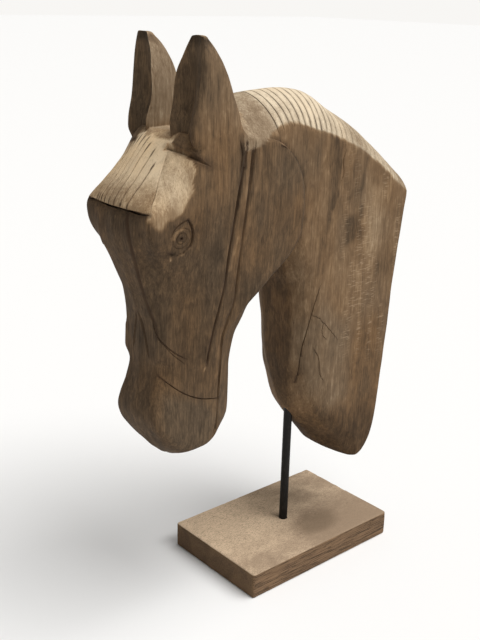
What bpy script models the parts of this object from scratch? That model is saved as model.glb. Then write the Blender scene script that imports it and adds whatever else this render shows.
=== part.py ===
"""Carved wooden horse head on an iron rod and a rectangular plinth.

Metres, +Z up. The horse looks along -Y and its left side is +X. The origin is
the centre of the plinth's underside, and the rod stands upright over it.
"""
import math

import bmesh
import bpy
import numpy as np

# Driving dimensions, metres
plinth_length = 0.220          # along Y
plinth_width = 0.141           # along X
plinth_thickness = 0.030
plinth_edge_round = 0.0015
rod_diameter = 0.010
rod_seat_depth = 0.020         # rod let into the plinth
rod_socket_depth = 0.055       # rod let into the neck, above where it enters
fit_gap = 0.0003               # clearance round the rod and at its ends
carving_height = 0.493         # lowest point of the neck to the ear tips
carving_lift = 0.0755          # lowest point of the neck above the plinth
mane_groove_pitch = 0.0102
mane_groove_width = 0.0024
mane_groove_depth = 0.0014
line_groove_width = 0.0030     # the long carved lines down the cheek
line_groove_depth = 0.0022
fine_groove_width = 0.0022     # mouth, nose and eye lines
fine_groove_depth = 0.0016
eye_length = 0.033
eye_height = 0.019
iris_diameter = 0.0125
pupil_diameter = 0.0050

# The carving is laid out in parts of its own height, 493 from the lowest point
# to the ear tips. Levels in the tables count from 75.5 parts below that point,
# where the plinth's top is at the real size.
height_parts = 493.0
lowest_level = 75.5
part = carving_height / height_parts
carving_base = plinth_thickness + carving_lift - lowest_level * part
rod_entry_level = 139.0        # where the rod meets the underside of the neck
eye_place = (-199.5, 390.0)    # y and level of the pupil
dome_columns = 5               # points from the crest to the edge of the mane


def clear_scene():
    for item in list(bpy.data.objects):
        bpy.data.objects.remove(item, do_unlink=True)


def wood(name, colour, roughness):
    material = bpy.data.materials.new(name)
    material.use_nodes = True
    shader = material.node_tree.nodes["Principled BSDF"]
    shader.inputs["Base Color"].default_value = (*colour, 1.0)
    shader.inputs["Roughness"].default_value = roughness
    shader.inputs["Metallic"].default_value = 0.0
    return material


def iron(name, colour, roughness):
    material = wood(name, colour, roughness)
    material.node_tree.nodes["Principled BSDF"].inputs["Metallic"].default_value = 0.6
    return material


def curve(*knots):
    """Smooth curve without overshoot through rows of (parameter, value, value, ...)."""
    rows = np.array(knots, dtype=float)
    rows = rows[np.argsort(rows[:, 0])]
    at, value = rows[:, 0], rows[:, 1:]
    step = np.diff(at)[:, None]
    rise = np.diff(value, axis=0) / step
    slope = np.zeros_like(value)
    slope[0], slope[-1] = rise[0], rise[-1]
    before, after = rise[:-1], rise[1:]
    turning = before * after <= 0.0
    heavy = 2.0 * step[1:] + step[:-1]
    light = step[1:] + 2.0 * step[:-1]
    safe_before = np.where(turning, 1.0, before)
    safe_after = np.where(turning, 1.0, after)
    mean = (heavy + light) / (heavy / safe_before + light / safe_after)
    slope[1:-1] = np.where(turning, 0.0, mean)

    def read(parameter):
        p = np.clip(np.atleast_1d(np.asarray(parameter, float)), at[0], at[-1])
        i = np.clip(np.searchsorted(at, p, side="right") - 1, 0, len(at) - 2)
        h = step[i]
        t = ((p - at[i]) / step[i, 0])[:, None]
        return ((2 * t**3 - 3 * t**2 + 1) * value[i] + (t**3 - 2 * t**2 + t) * h * slope[i]
                + (3 * t**2 - 2 * t**3) * value[i + 1] + (t**3 - t**2) * h * slope[i + 1])

    return read


# Head and muzzle, as lines that run up the block. Rows are (level, half width, y).
face_centre = curve(
    (147.5, 0, -184), (158, 0, -196), (166, 0, -203), (175, 0, -208), (189, 0, -214.5),
    (203, 0, -218.5),
    (233, 0, -213.5), (250, 0, -211.5), (298, 0, -212.5), (312, 0, -215.5), (341, 0, -224),
    (360, 0, -231), (380, 0, -238), (396, 0, -240.5), (410, 0, -239), (415.4, 0, -235.5),
    (417, 0, -240.5), (443, 0, -221.5), (467, 0, -202), (478, 0, -190), (482, 0, -184))
nose_edge = curve(
    (147.5, 4, -183), (158, 14, -193.5), (166, 22, -200), (175, 29, -206), (189, 33, -213.5),
    (203, 31.5, -217), (213, 29, -216), (233, 24, -211), (250, 20, -209), (256.5, 21.5, -208.5),
    (263.5, 29, -208.5), (298, 26, -209.5), (312, 22, -213), (331, 19, -218), (341, 20, -222), (360, 23, -229),
    (380, 26.5, -236.5), (396, 25, -239), (410, 22, -237.5), (415.4, 22, -234),
    (417, 22, -238.7), (443, 22, -218.8), (467, 18, -199.8), (478, 17, -189.5), (482, 17, -183.5))
cheek_ridge = curve(
    (147.5, 8, -181), (158, 24, -189), (166, 31, -196), (175, 35.5, -201.5), (184, 37.5, -205.5),
    (189, 37, -208), (203, 34.5, -212), (213, 32, -211.5), (233, 27.5, -208.5), (250, 24.5, -206.3),
    (256.5, 26.5, -205.7), (263.5, 29.5, -205), (276, 31, -204.8), (311, 31, -206), (346, 35, -211), (367, 42, -217.5),
    (380, 49, -227.5), (392, 52.5, -233.5), (404, 52, -236.5), (410, 51.5, -237),
    (415.4, 50.5, -235), (417, 49.5, -234.5), (430, 45, -222.5), (443.5, 40.5, -211.5), (457, 35, -201.5), (467, 32, -196),
    (478, 30, -188), (482, 30, -183))
side_front = curve(
    (147.5, 14, -176), (158, 33, -179), (166, 37, -181), (175, 38.5, -183), (189, 39.5, -185),
    (213, 39, -186), (250, 36, -187), (285, 38, -186), (311, 40, -185), (346, 44.5, -189),
    (380, 51, -198), (404, 55, -208), (420, 57, -202), (433, 57, -191.5), (445, 57, -187),
    (457, 57, -182.5), (467, 56.5, -178), (478, 56, -172), (482, 52, -170))
cheek_line = curve(
    (147.5, 15, -168), (158, 35, -167), (166, 38, -165.5), (175, 39, -164.5), (213, 40, -163.5),
    (249, 42.5, -163), (270, 44.5, -162), (285, 46, -159), (310, 49, -151), (337, 52, -145),
    (367, 54, -142), (403, 56, -137), (429, 57, -133), (452, 57, -128), (474, 56.5, -124.5),
    (482, 50, -130))
jaw_line = curve(
    (147.5, 13, -162), (158, 35, -158), (166, 39, -150), (178, 40, -144), (214, 40.5, -143),
    (244, 42, -142.5),
    (276, 44.5, -142.5), (292, 46, -138.5), (317, 49, -130), (364, 53.5, -127), (423, 57, -122),
    (451, 57, -119), (474, 56.5, -117), (482, 50, -124))
jaw_edge = curve(
    (147.5, 11, -157), (158, 34, -152), (166, 38.5, -145), (175, 39.5, -139), (184, 39.5, -137),
    (195, 39, -139), (236, 41.5, -139),
    (270, 44, -139), (282, 45, -134), (298, 47, -122), (316, 49, -101), (322, 49.5, -93),
    (335, 50, -78), (343, 50.5, -66), (360, 51.5, -50), (377, 52.5, -42), (404, 53.5, -41),
    (429, 54, -45), (447, 54.5, -54), (460, 55, -66), (471, 55.5, -84), (482, 48, -118))
jaw_back = curve(
    (147.5, 5, -157), (158, 19, -144), (166, 23, -131), (175, 25, -121), (184, 25.5, -115),
    (195, 25, -113), (236, 24.5, -112.5), (253, 24, -109.5), (270, 24, -105), (282, 24, -97),
    (298, 24, -87), (316, 25, -70), (335, 32, -56), (343, 36, -51), (360, 42, -40), (377, 44, -35),
    (404, 45, -34), (429, 45, -38), (447, 45, -47), (460, 45, -60), (471, 45, -77),
    (482, 48, -112))
jaw_centre = curve(
    (147.5, 0, -156), (158, 0, -141), (166, 0, -128), (175, 0, -118), (195, 0, -110), (253, 0, -106),
    (282, 0, -94), (316, 0, -68), (343, 0, -50), (377, 0, -34), (429, 0, -37),
    (471, 0, -76), (482, 0, -111))

# Neck, as planes across it. Rows are (crest y, crest level, throat y, throat level,
# half width, mane height, half width of the front face, depth and swell of its
# chamfer), read by the length along the crest.
neck_planes = np.array([
    (-150, 492, -150, 400, 56, 24, 40, 10, 1),
    (-120, 503, -105, 372, 57, 34, 40, 12, 1),
    (-95, 511, -78, 356, 54, 37, 30, 14, 1),
    (-65, 514, -60, 350, 48, 31, 25, 16, 1),
    (-40, 515, -48, 345, 45, 34.5, 23, 18, 1),
    (-10, 511.5, -41, 335, 45, 39, 22, 20, 1),
    (26, 493, -36, 320, 45, 31, 22, 20, 1),
    (59, 475.5, -31.5, 306, 45, 26, 22, 20, 1),
    (94, 451.5, -29.5, 292, 45, 24.5, 22, 20, 1),
    (135, 420.5, -27.5, 272, 45, 24, 22, 19, 1),
    (168, 394, -25, 250, 45, 24, 21, 20, 1),
    (178, 352, -24, 224, 45, 20, 19, 23, 3),
    (178, 296, -19.5, 196, 45, 12, 15, 29, 5),
    (178, 240, -14.5, 175, 45, 6, 12, 32, 6),
    (178, 194, -6, 150, 45, 2, 9, 32, 7),
    (178, 160, 9, 129, 45, 2, 8, 30, 7),
    (178, 134, 26, 109, 45, 2, 10, 26, 6),
    (178, 112, 43, 91, 44.5, 2, 14, 20, 5),
    (178, 96, 59, 80.5, 44, 2, 19, 14, 3),
    (178, 84, 68, 76, 41, 2, 22, 9, 2),
    (178, 76, 74, 75, 36, 2, 24, 6, 1)], float)
neck_run = np.concatenate([[0.0], np.cumsum(np.hypot(*np.diff(neck_planes[:, :2], axis=0).T))])
neck_plane_at = curve(*np.column_stack([neck_run, neck_planes]))
sawn_back = curve((60, 66), (75.5, 76), (80, 82), (90, 90.5), (100, 96), (113, 100), (153, 105),
                  (182, 107.5), (230, 112), (288, 116), (340, 122), (386, 128), (427, 134),
                  (540, 152))

# Ears, as lines that run up them. Rows are (level, half width, y).
ear_inner_rim = curve((450, 30, -180), (462, 27, -182), (470, 23, -184), (479, 19, -189.5),
                      (489, 18, -190), (506, 16, -185.5), (515, 16, -184), (536, 19, -182.5),
                      (551, 24.5, -178.5), (560, 29, -177), (568.5, 34.5, -175.5))
ear_outer_rim = curve((450, 53, -172), (458, 53.5, -178), (463, 54, -181.5), (470, 54.5, -186),
                      (479, 54.5, -190.5), (488, 54.5, -190), (510, 54.5, -185.5),
                      (540, 54.5, -180.5), (556, 52, -178.5), (568.5, 50, -175.5))
ear_inner_back = curve((450, 26, -119), (483, 26, -125), (502, 26, -133), (518, 26.5, -140),
                       (530, 27, -143.5), (540, 28, -147.5), (549, 29.5, -152.5), (558, 31.5, -158.5),
                       (568.5, 36, -169))
ear_outer_back = curve((450, 56.5, -118.5), (478, 56.5, -119), (483, 56, -126), (502, 56, -133),
                       (518, 56, -140), (530, 55.5, -144.5), (540, 55, -149.5), (549, 54, -155),
                       (559, 52, -162), (568.5, 49.5, -171))
ear_hollow_depth = curve((450, 1), (462, 4), (472, 9), (490, 12), (515, 13), (540, 9),
                         (558, 4), (568.5, 2))


def world(points):
    """Table parts to metres in the object's frame."""
    points = np.asarray(points, float) * part
    points[..., 2] += carving_base
    return points


def closed_ring(half):
    """Whole section from its +X half, which starts and ends on the middle plane."""
    mirrored = half[..., 1:-1, :][..., ::-1, :] * np.array([-1.0, 1.0, 1.0])
    return np.concatenate([half, mirrored], axis=-2)


def loft(name, rings):
    """Closed mesh through rings of equal point count, capped at both ends."""
    stations, around = rings.shape[:2]
    points = world(rings).reshape(-1, 3)
    faces = []
    for i in range(stations - 1):
        for j in range(around):
            k = (j + 1) % around
            faces.append((i * around + j, i * around + k,
                          (i + 1) * around + k, (i + 1) * around + j))
    faces.append(tuple(range(around))[::-1])
    faces.append(tuple((stations - 1) * around + j for j in range(around)))
    return solid(name, points, faces)


def solid(name, points, faces):
    mesh = bpy.data.meshes.new(name)
    mesh.from_pydata([tuple(p) for p in points], [], faces)
    mesh.update()
    made = bpy.data.objects.new(name, mesh)
    bpy.context.scene.collection.objects.link(made)
    face_outwards(made)
    return made


def face_outwards(made):
    work = bmesh.new()
    work.from_mesh(made.data)
    bmesh.ops.recalc_face_normals(work, faces=work.faces)
    if work.calc_volume(signed=True) < 0.0:
        bmesh.ops.reverse_faces(work, faces=work.faces)
    work.to_mesh(made.data)
    work.free()


def as_tool(made):
    made.hide_render = True
    made.display_type = "WIRE"
    return made


def combine(target, tool, operation):
    step = target.modifiers.new(f"{operation.lower()} {tool.name}", "BOOLEAN")
    step.operation = operation
    step.solver = "EXACT"
    step.object = as_tool(tool)


def head_half_sections(levels):
    """The +X half of each level section, front middle to back middle."""
    depth = line_groove_depth / part
    width = 0.5 * line_groove_width / part
    f0, f1, f2 = face_centre(levels), nose_edge(levels), cheek_ridge(levels)
    f3, f4, f5 = side_front(levels), cheek_line(levels), jaw_line(levels)
    f6, f7, f8 = jaw_edge(levels), jaw_back(levels), jaw_centre(levels)
    cheek_cut = depth * fade(levels, 249, 474)[:, None]
    jaw_cut = 0.8 * depth * fade(levels, 170, 468)[:, None]
    nose_cut = 0.8 * depth * fade(levels, 292, 412)[:, None]
    sink = np.array([-1.0, 0.0])
    along = np.array([0.0, 1.0])
    slant = np.array([-0.45, 0.9])
    raised = 0.8 * fade(levels, 416, 484)[:, None]
    columns = [
        f0, towards(f1, f0, width), f1 + (nose_cut + 0.4) * slant,
        towards(f1, f2, width), bulge(f1, f2, 0.5, -1.0), f2,
        f2 + raised * np.array([0.35, 1.0]), bulge(f2, f3, 0.5, 1.2), f3, bulge(f3, f4, 0.5, 0.8),
        f4 - width * along, f4 + cheek_cut * sink, f4 + width * along,
        f5 - width * along, f5 + jaw_cut * sink, f5 + width * along,
        bulge(f5, f6, 0.6, 0.5), f6, f7, f8]
    half = np.stack(columns, axis=1)
    height = np.broadcast_to(np.asarray(levels, float)[:, None, None], half.shape[:2] + (1,))
    return np.concatenate([half, height], axis=2)


def fade(value, low, high, ends=10.0):
    """One between two values, easing to nothing at both."""
    value = np.asarray(value, float)
    return np.clip((value - low) / ends, 0.0, 1.0) * np.clip((high - value) / ends, 0.0, 1.0)


def towards(start, end, distance):
    way = end - start
    return start + way * distance / np.maximum(np.linalg.norm(way, axis=1, keepdims=True), 1e-6)


def bulge(start, end, share, swell):
    """A point on the way from start to end, pushed out of the section by swell."""
    way = end - start
    length = np.maximum(np.linalg.norm(way, axis=1, keepdims=True), 1e-6)
    out = np.stack([way[:, 1], -way[:, 0]], axis=1) / length
    return start + share * way + np.minimum(swell, 0.1 * length) * out


def make_head():
    levels = np.concatenate([
        [147.5, 151.5, 158, 163, 169, 176, 184, 194, 204, 214, 226, 238, 250, 256.5, 263.5, 271],
        np.arange(280, 398, 11.2), [403, 410, 415.4, 417],
        [424, 432, 440, 448, 456, 463, 469, 475, 482]])
    return loft("head_block", closed_ring(head_half_sections(levels)))


def neck_half_sections(stations):
    """The +X half of each neck section, crest to throat, and its way down into the neck."""
    row = neck_plane_at(stations)
    crest, throat = row[:, 0:2], row[:, 2:4]
    half_width, mane, front, chamfer, swell = row[:, 4:9].T
    span = np.linalg.norm(throat - crest, axis=1)
    inward = (throat - crest) / span[:, None]
    last = math.radians(72.0)
    outline = []
    for share in np.linspace(0.0, 1.0, dome_columns):
        angle = last * share
        outline.append((half_width * math.sin(angle) / math.sin(last),
                        mane * (1.0 - math.cos(angle)) / (1.0 - math.cos(last))))
    side_end = span - chamfer
    flank = np.minimum(half_width, 45.0)
    outline.append((half_width + 0.1, mane + 1.6))
    outline.append((flank + 0.6, 0.5 * (mane + side_end)))
    outline.append((flank, side_end))
    outline.append((0.62 * flank + 0.38 * front + swell, side_end + 0.62 * chamfer))
    outline.append((front, span))
    outline.append((np.zeros_like(span), span + 0.8))
    half = [np.column_stack([x, crest + inward * s[:, None]]) for x, s in outline]
    return np.stack(half, axis=1), inward


def make_neck():
    first, last = neck_run[2] + 12.0, neck_run[9]
    pitch = mane_groove_pitch / part
    half_groove = 0.5 * mane_groove_width / part
    grooves = np.arange(first, last, pitch)
    plain = neck_run[(neck_run < first - 4.0) | (neck_run > last + 2.0)]
    cuts = (grooves[:, None] + half_groove * np.array([-1.0, 0.0, 1.0])).ravel()
    stations = np.sort(np.concatenate([plain, cuts, [last + pitch]]))
    half, inward = neck_half_sections(stations)
    cut = np.min(np.abs(stations[:, None] - grooves[None, :]), axis=1) < 0.01
    depth = mane_groove_depth / part * cut
    for j in range(dome_columns):
        half[:, j, 1:] += inward * depth[:, None]
        half[:, j, 0] -= 0.7 * depth * j / (dome_columns - 1)
    neck = loft("neck_block", closed_ring(half))
    combine(neck, make_back_cut(), "DIFFERENCE")
    return neck


def make_back_cut():
    """Everything behind the flat sawn back of the neck."""
    levels = np.array([60, 75.5, 82, 90, 100, 113, 153, 182, 230, 288, 340, 386, 427, 540], float)
    front = sawn_back(levels)[:, 0]
    wide, far = 80.0, 240.0
    rings = np.stack([
        np.column_stack([np.full_like(levels, wide), front, levels]),
        np.column_stack([np.full_like(levels, wide), np.full_like(levels, far), levels]),
        np.column_stack([np.full_like(levels, -wide), np.full_like(levels, far), levels]),
        np.column_stack([np.full_like(levels, -wide), front, levels])], axis=1)
    return loft("back_cut", rings)


def make_ear(side):
    levels = np.array([450, 458, 464, 471, 479, 488, 498, 506, 515, 524, 532, 540, 547, 553, 559,
                       564, 568.5], float)
    inner, outer = ear_inner_rim(levels), ear_outer_rim(levels)
    inner_back, outer_back = ear_inner_back(levels), ear_outer_back(levels)
    hollow = ear_hollow_depth(levels)[:, 0]
    rings = []
    for i, level in enumerate(levels):
        ring = []
        for share in np.linspace(0.0, 1.0, 7):
            x, y = inner[i] + (outer[i] - inner[i]) * share
            ring.append((x, y + hollow[i] * math.sin(math.pi * share ** 0.75) ** 1.3))
        for start, end, share, swell in (
                (outer[i], outer_back[i], 0.14, 2.0), (outer[i], outer_back[i], 0.45, 1.9),
                (outer[i], outer_back[i], 0.85, 0.6), (outer_back[i], inner_back[i], 0.1, 0.3),
                (outer_back[i], inner_back[i], 0.55, 1.2), (inner_back[i], inner[i], 0.02, 0.2),
                (inner_back[i], inner[i], 0.5, 1.0)):
            way = end - start
            length = np.linalg.norm(way)
            out = np.array([way[1], -way[0]]) / length
            ring.append(tuple(start + share * way + min(swell, 0.08 * length) * out))
        rings.append([(side * x, y, level) for x, y in ring])
    return loft("ear_left" if side > 0 else "ear_right", np.array(rings))


def side_surface(y, level):
    """Half width of the head's side at a place given by y and level."""
    half = head_half_sections(np.array([level, level + 0.01]))[0]
    flank = half[6:20]
    order = np.argsort(flank[:, 1])
    return float(np.interp(y, flank[order, 1], flank[order, 0]))


def front_surface(x, level):
    """Y of the face and forelock at a half width and level."""
    half = head_half_sections(np.array([level, level + 0.01]))[0]
    front = half[:6]
    return float(np.interp(abs(x), front[:, 0], front[:, 1]))


def v_cut(name, points, normals, width, depth, closed=False):
    """Cutter for a carved line: a V swept along points on the surface."""
    points, normals = np.asarray(points, float), np.asarray(normals, float)
    normals = normals / np.linalg.norm(normals, axis=1, keepdims=True)
    ahead = np.roll(points, -1, axis=0) - np.roll(points, 1, axis=0)
    if not closed:
        ahead[0], ahead[-1] = points[1] - points[0], points[-1] - points[-2]
    across = np.cross(ahead, normals)
    across /= np.linalg.norm(across, axis=1, keepdims=True)
    lift = 1.6
    spread = 0.5 * width / part * (1.0 + lift * part / depth)
    deep = np.full(len(points), depth / part)
    if not closed:
        deep[0], deep[-1] = -0.2, -0.2
    rings = np.stack([points + normals * lift + across * spread,
                      points - normals * deep[:, None],
                      points + normals * lift - across * spread], axis=1)
    if closed:
        return closed_sweep(name, rings)
    return loft(name, rings)


def closed_sweep(name, rings):
    stations, around = rings.shape[:2]
    faces = []
    for i in range(stations):
        n = (i + 1) % stations
        for j in range(around):
            k = (j + 1) % around
            faces.append((i * around + j, i * around + k, n * around + k, n * around + j))
    return solid(name, world(rings).reshape(-1, 3), faces)


def on_side(side, places):
    """Points on the head's side from (y, level) pairs, with outward normals."""
    points, normals = [], []
    for y, level in places:
        x = side_surface(y, level)
        slope_y = (side_surface(y + 1.5, level) - side_surface(y - 1.5, level)) / 3.0
        slope_z = (side_surface(y, level + 1.5) - side_surface(y, level - 1.5)) / 3.0
        points.append((side * x, y, level))
        normals.append((side, -slope_y, -slope_z))
    return points, normals


def dense(knots, count):
    """Count places evenly along a smooth curve through a few chosen ones."""
    knots = np.array(knots, float)
    run = np.concatenate([[0.0], np.cumsum(np.linalg.norm(np.diff(knots, axis=0), axis=1))])
    read = curve(*[(u, *row) for u, row in zip(run, knots)])
    return read(np.linspace(0.0, run[-1], count))


def eye_outline(count):
    """Almond round the eye, its rear corner higher than its front one."""
    tilt = math.radians(50.0)
    places = []
    for i in range(count):
        angle = 2.0 * math.pi * i / count
        along = 0.5 * eye_length / part * math.cos(angle)
        up = 0.5 * eye_height / part * math.sin(angle) * abs(math.sin(angle)) ** 0.25
        places.append((eye_place[0] + along * math.cos(tilt) - up * math.sin(tilt),
                       eye_place[1] + along * math.sin(tilt) + up * math.cos(tilt)))
    return places


def circle(diameter, count):
    radius = 0.5 * diameter / part
    return [(eye_place[0] + radius * math.cos(2 * math.pi * i / count),
             eye_place[1] + radius * math.sin(2 * math.pi * i / count)) for i in range(count)]


def carve_side_lines(head, side):
    label = "left" if side > 0 else "right"
    fine = (fine_groove_width, fine_groove_depth)
    mouth = dense([(-208, 250), (-203, 243), (-189, 230), (-175, 221), (-158, 214), (-140, 211)], 10)
    combine(head, v_cut(f"mouth_{label}", *on_side(side, mouth), *fine), "DIFFERENCE")
    smile = dense([(-206, 288), (-202, 277), (-196, 270), (-189, 265), (-181, 258)], 7)
    combine(head, v_cut(f"cheek_fold_{label}", *on_side(side, smile), *fine), "DIFFERENCE")
    combine(head, v_cut(f"eyelid_{label}", *on_side(side, eye_outline(18)), *fine, closed=True),
            "DIFFERENCE")
    iris = circle(iris_diameter, 12)
    combine(head, v_cut(f"iris_{label}", *on_side(side, iris), *fine, closed=True), "DIFFERENCE")
    pupil_points, pupil_normals = on_side(side, circle(pupil_diameter, 8))
    centre, _ = on_side(side, [eye_place])
    top = np.array(pupil_points) + 1.5 * np.array(pupil_normals)
    bottom = np.array(centre) + 0.35 * (np.array(pupil_points) - np.array(centre))
    bottom = bottom - 2.0 * np.array(pupil_normals)
    combine(head, loft(f"pupil_{label}", np.stack([bottom, top])), "DIFFERENCE")


def make_ear_notch(side):
    """Chisel cut that parts the root of the ear from the brow."""
    inner, outer = 38.0, 60.0
    opening = np.array([(-203, 462), (-196, 468.5), (-167, 454)], float)
    rings = []
    apex = np.array([-198.0, 466.0])
    for x, share in ((inner, 0.25), (outer, 1.08)):
        rings.append([(side * x, *(apex + (p - apex) * share)) for p in opening])
    return loft("ear_notch_left" if side > 0 else "ear_notch_right", np.array(rings))


def carve_forelock(head):
    """Grooves down the forelock, closer together towards the horse's right."""
    for i in range(8):
        x = 21.5 - 10.6 * i + 0.42 * i * i
        top = 472.0 - 0.5 * max(abs(x) - 18.0, 0.0)
        levels = np.linspace(417.3, top, 8)
        points = [(x, front_surface(x, level), level) for level in levels]
        normals = np.tile([0.0, -0.8, 0.6], (len(points), 1))
        groove = v_cut(f"forelock_{i}", points, normals, fine_groove_width, fine_groove_depth)
        combine(head, groove, "DIFFERENCE")


def carve_nose(head):
    """Two slanting cuts that meet high on the nose."""
    for side in (1, -1):
        levels = np.linspace(270, 310, 6)
        x = np.interp(levels, [270, 310], [12.5, 0.5])
        points = [(side * a, front_surface(a, level), level) for a, level in zip(x, levels)]
        normals = np.tile([0.0, -1.0, 0.0], (len(points), 1))
        name = "nose_left" if side > 0 else "nose_right"
        groove = v_cut(name, points, normals, fine_groove_width, fine_groove_depth)
        combine(head, groove, "DIFFERENCE")


def cylinder(name, diameter, bottom, top, sides=24):
    rings = []
    for height in (bottom, top):
        rings.append([(0.5 * diameter * math.cos(2 * math.pi * i / sides),
                       0.5 * diameter * math.sin(2 * math.pi * i / sides), height)
                      for i in range(sides)])
    points = np.array(rings).reshape(-1, 3)
    faces = [(i, (i + 1) % sides, sides + (i + 1) % sides, sides + i) for i in range(sides)]
    faces += [tuple(range(sides))[::-1], tuple(range(sides, 2 * sides))]
    return solid(name, points, faces)


def make_carving():
    carving = make_head()
    carving.name = "carved_horse_head"
    combine(carving, make_neck(), "UNION")
    for side in (1, -1):
        combine(carving, make_ear(side), "UNION")
    for side in (1, -1):
        combine(carving, make_ear_notch(side), "DIFFERENCE")
        carve_side_lines(carving, side)
    carve_nose(carving)
    carve_forelock(carving)
    socket_top = carving_base + rod_entry_level * part + rod_socket_depth
    combine(carving, cylinder("rod_socket", rod_diameter + 2 * fit_gap, plinth_thickness, socket_top),
            "DIFFERENCE")
    carving.data.materials.append(wood("weathered_carved_wood", (0.30, 0.20, 0.12), 0.75))
    return carving


def make_rod():
    bottom = plinth_thickness - rod_seat_depth + fit_gap
    top = carving_base + rod_entry_level * part + rod_socket_depth - fit_gap
    rod = cylinder("stand_rod", rod_diameter, bottom, top)
    rod.data.materials.append(iron("blackened_iron", (0.02, 0.02, 0.02), 0.55))
    rod.data.shade_smooth()
    rod.data.set_sharp_from_angle(angle=math.radians(40.0))
    return rod


def make_plinth():
    x, y = 0.5 * plinth_width, 0.5 * plinth_length
    corners = [(sx * x, sy * y, z) for z in (0.0, plinth_thickness)
               for sx, sy in ((-1, -1), (1, -1), (1, 1), (-1, 1))]
    faces = [(0, 3, 2, 1), (4, 5, 6, 7), (0, 1, 5, 4), (1, 2, 6, 5), (2, 3, 7, 6), (3, 0, 4, 7)]
    plinth = solid("plinth", corners, faces)
    bevel = plinth.modifiers.new("worn edges", "BEVEL")
    bevel.width = plinth_edge_round
    bevel.segments = 2
    seat = cylinder("rod_seat", rod_diameter + 2 * fit_gap, plinth_thickness - rod_seat_depth,
                    2 * plinth_thickness)
    combine(plinth, seat, "DIFFERENCE")
    plinth.data.materials.append(wood("plinth_wood", (0.42, 0.28, 0.16), 0.7))
    return plinth


clear_scene()
make_plinth()
make_rod()
make_carving()
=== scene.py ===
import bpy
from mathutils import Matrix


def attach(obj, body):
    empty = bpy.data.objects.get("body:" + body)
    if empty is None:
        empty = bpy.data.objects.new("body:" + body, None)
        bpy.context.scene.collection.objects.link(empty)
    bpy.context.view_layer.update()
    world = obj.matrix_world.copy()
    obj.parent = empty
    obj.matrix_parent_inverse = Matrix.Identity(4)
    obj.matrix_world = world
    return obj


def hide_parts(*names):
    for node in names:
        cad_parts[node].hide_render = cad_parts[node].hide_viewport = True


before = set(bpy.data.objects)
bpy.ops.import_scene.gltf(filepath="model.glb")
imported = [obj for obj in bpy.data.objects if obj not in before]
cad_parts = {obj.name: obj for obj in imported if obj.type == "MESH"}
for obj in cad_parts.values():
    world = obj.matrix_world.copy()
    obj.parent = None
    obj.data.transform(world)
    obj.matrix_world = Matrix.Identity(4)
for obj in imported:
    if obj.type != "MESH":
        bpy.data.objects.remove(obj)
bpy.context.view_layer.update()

import math

import bpy
import numpy as np
from mathutils import Matrix, Vector
from mathutils.bvhtree import BVHTree

# Levels and places are in millimetres: level 0 is the top of the plinth, y runs from
# the face (minus) to the back (plus), and the first number is the half width.


# Numbers and grids

def smoothLine(rows):
    # cubic through rows of (place, value, ...); each slope is the harmonic mean of its
    # two neighbours' slopes, and nothing where the line turns, so it never overshoots
    rows = np.array(rows, float)
    rows = rows[np.argsort(rows[:, 0])]
    at, value = rows[:, 0], rows[:, 1:]
    step = np.diff(at)[:, None]
    rise = np.diff(value, axis=0) / step
    slope = np.zeros_like(value)
    slope[0], slope[-1] = rise[0], rise[-1]
    before, after = rise[:-1], rise[1:]
    turning = before * after <= 0
    heavy, light = 2 * step[1:] + step[:-1], step[1:] + 2 * step[:-1]
    mean = (heavy + light) / (heavy / np.where(turning, 1, before) + light / np.where(turning, 1, after))
    slope[1:-1] = np.where(turning, 0, mean)

    def read(place):
        # the cubic's values at each place, held at the first and last row beyond them
        p = np.clip(np.atleast_1d(np.asarray(place, float)), at[0], at[-1])
        i = np.clip(np.searchsorted(at, p, side="right") - 1, 0, len(at) - 2)
        h = step[i]
        t = ((p - at[i]) / step[i, 0])[:, None]
        return ((2 * t**3 - 3 * t**2 + 1) * value[i] + (t**3 - 2 * t**2 + t) * h * slope[i]
                + (3 * t**2 - 2 * t**3) * value[i + 1] + (t**3 - t**2) * h * slope[i + 1])

    return read


def ease(value, low, high):
    # nothing below low, one above high, with a soft S between
    t = np.clip((np.asarray(value, float) - low) / (high - low), 0, 1)
    return t * t * (3 - 2 * t)


def fadeBetween(value, low, high):
    # one between low and high, with an S down to nothing over a short way at both ends
    ends = 8.0
    return ease(value, low, low + ends) * (1 - ease(value, high - ends, high))


lattice = {"dice": 65536, "mix": (73856093, 19349663, 83492791)}  # primes spread the corners over the dice


def softNoise(points, size, seed):
    # random numbers on a cubic lattice of that size, eased between its corners, -1 to 1
    dice = np.random.default_rng(seed).uniform(-1, 1, lattice["dice"])
    p = np.asarray(points, float) / np.asarray(size, float)
    cell = np.floor(p).astype(np.int64)
    t = p - cell
    t = t * t * (3 - 2 * t)
    total = np.zeros(p.shape[:-1])
    for dx in (0, 1):
        for dy in (0, 1):
            for dz in (0, 1):
                mixed = (cell + np.array([dx, dy, dz])) * np.array(lattice["mix"])
                key = (mixed[..., 0] ^ mixed[..., 1] ^ mixed[..., 2]) % lattice["dice"]
                weight = (np.where(dx, t[..., 0], 1 - t[..., 0]) * np.where(dy, t[..., 1], 1 - t[..., 1])
                          * np.where(dz, t[..., 2], 1 - t[..., 2]))
                total += weight * dice[key]
    return total


def gridNormals(grid):
    # cross product of the two ways along the grid, which is closed around, turned outwards
    around = np.roll(grid, -1, axis=1) - np.roll(grid, 1, axis=1)
    along = np.gradient(grid, axis=0)
    normal = np.cross(around, along)
    normal /= np.maximum(np.linalg.norm(normal, axis=2, keepdims=True), 1e-9)
    outwards = grid - grid.mean(axis=1, keepdims=True)
    return normal * np.sign(np.sum(normal * outwards))


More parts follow.
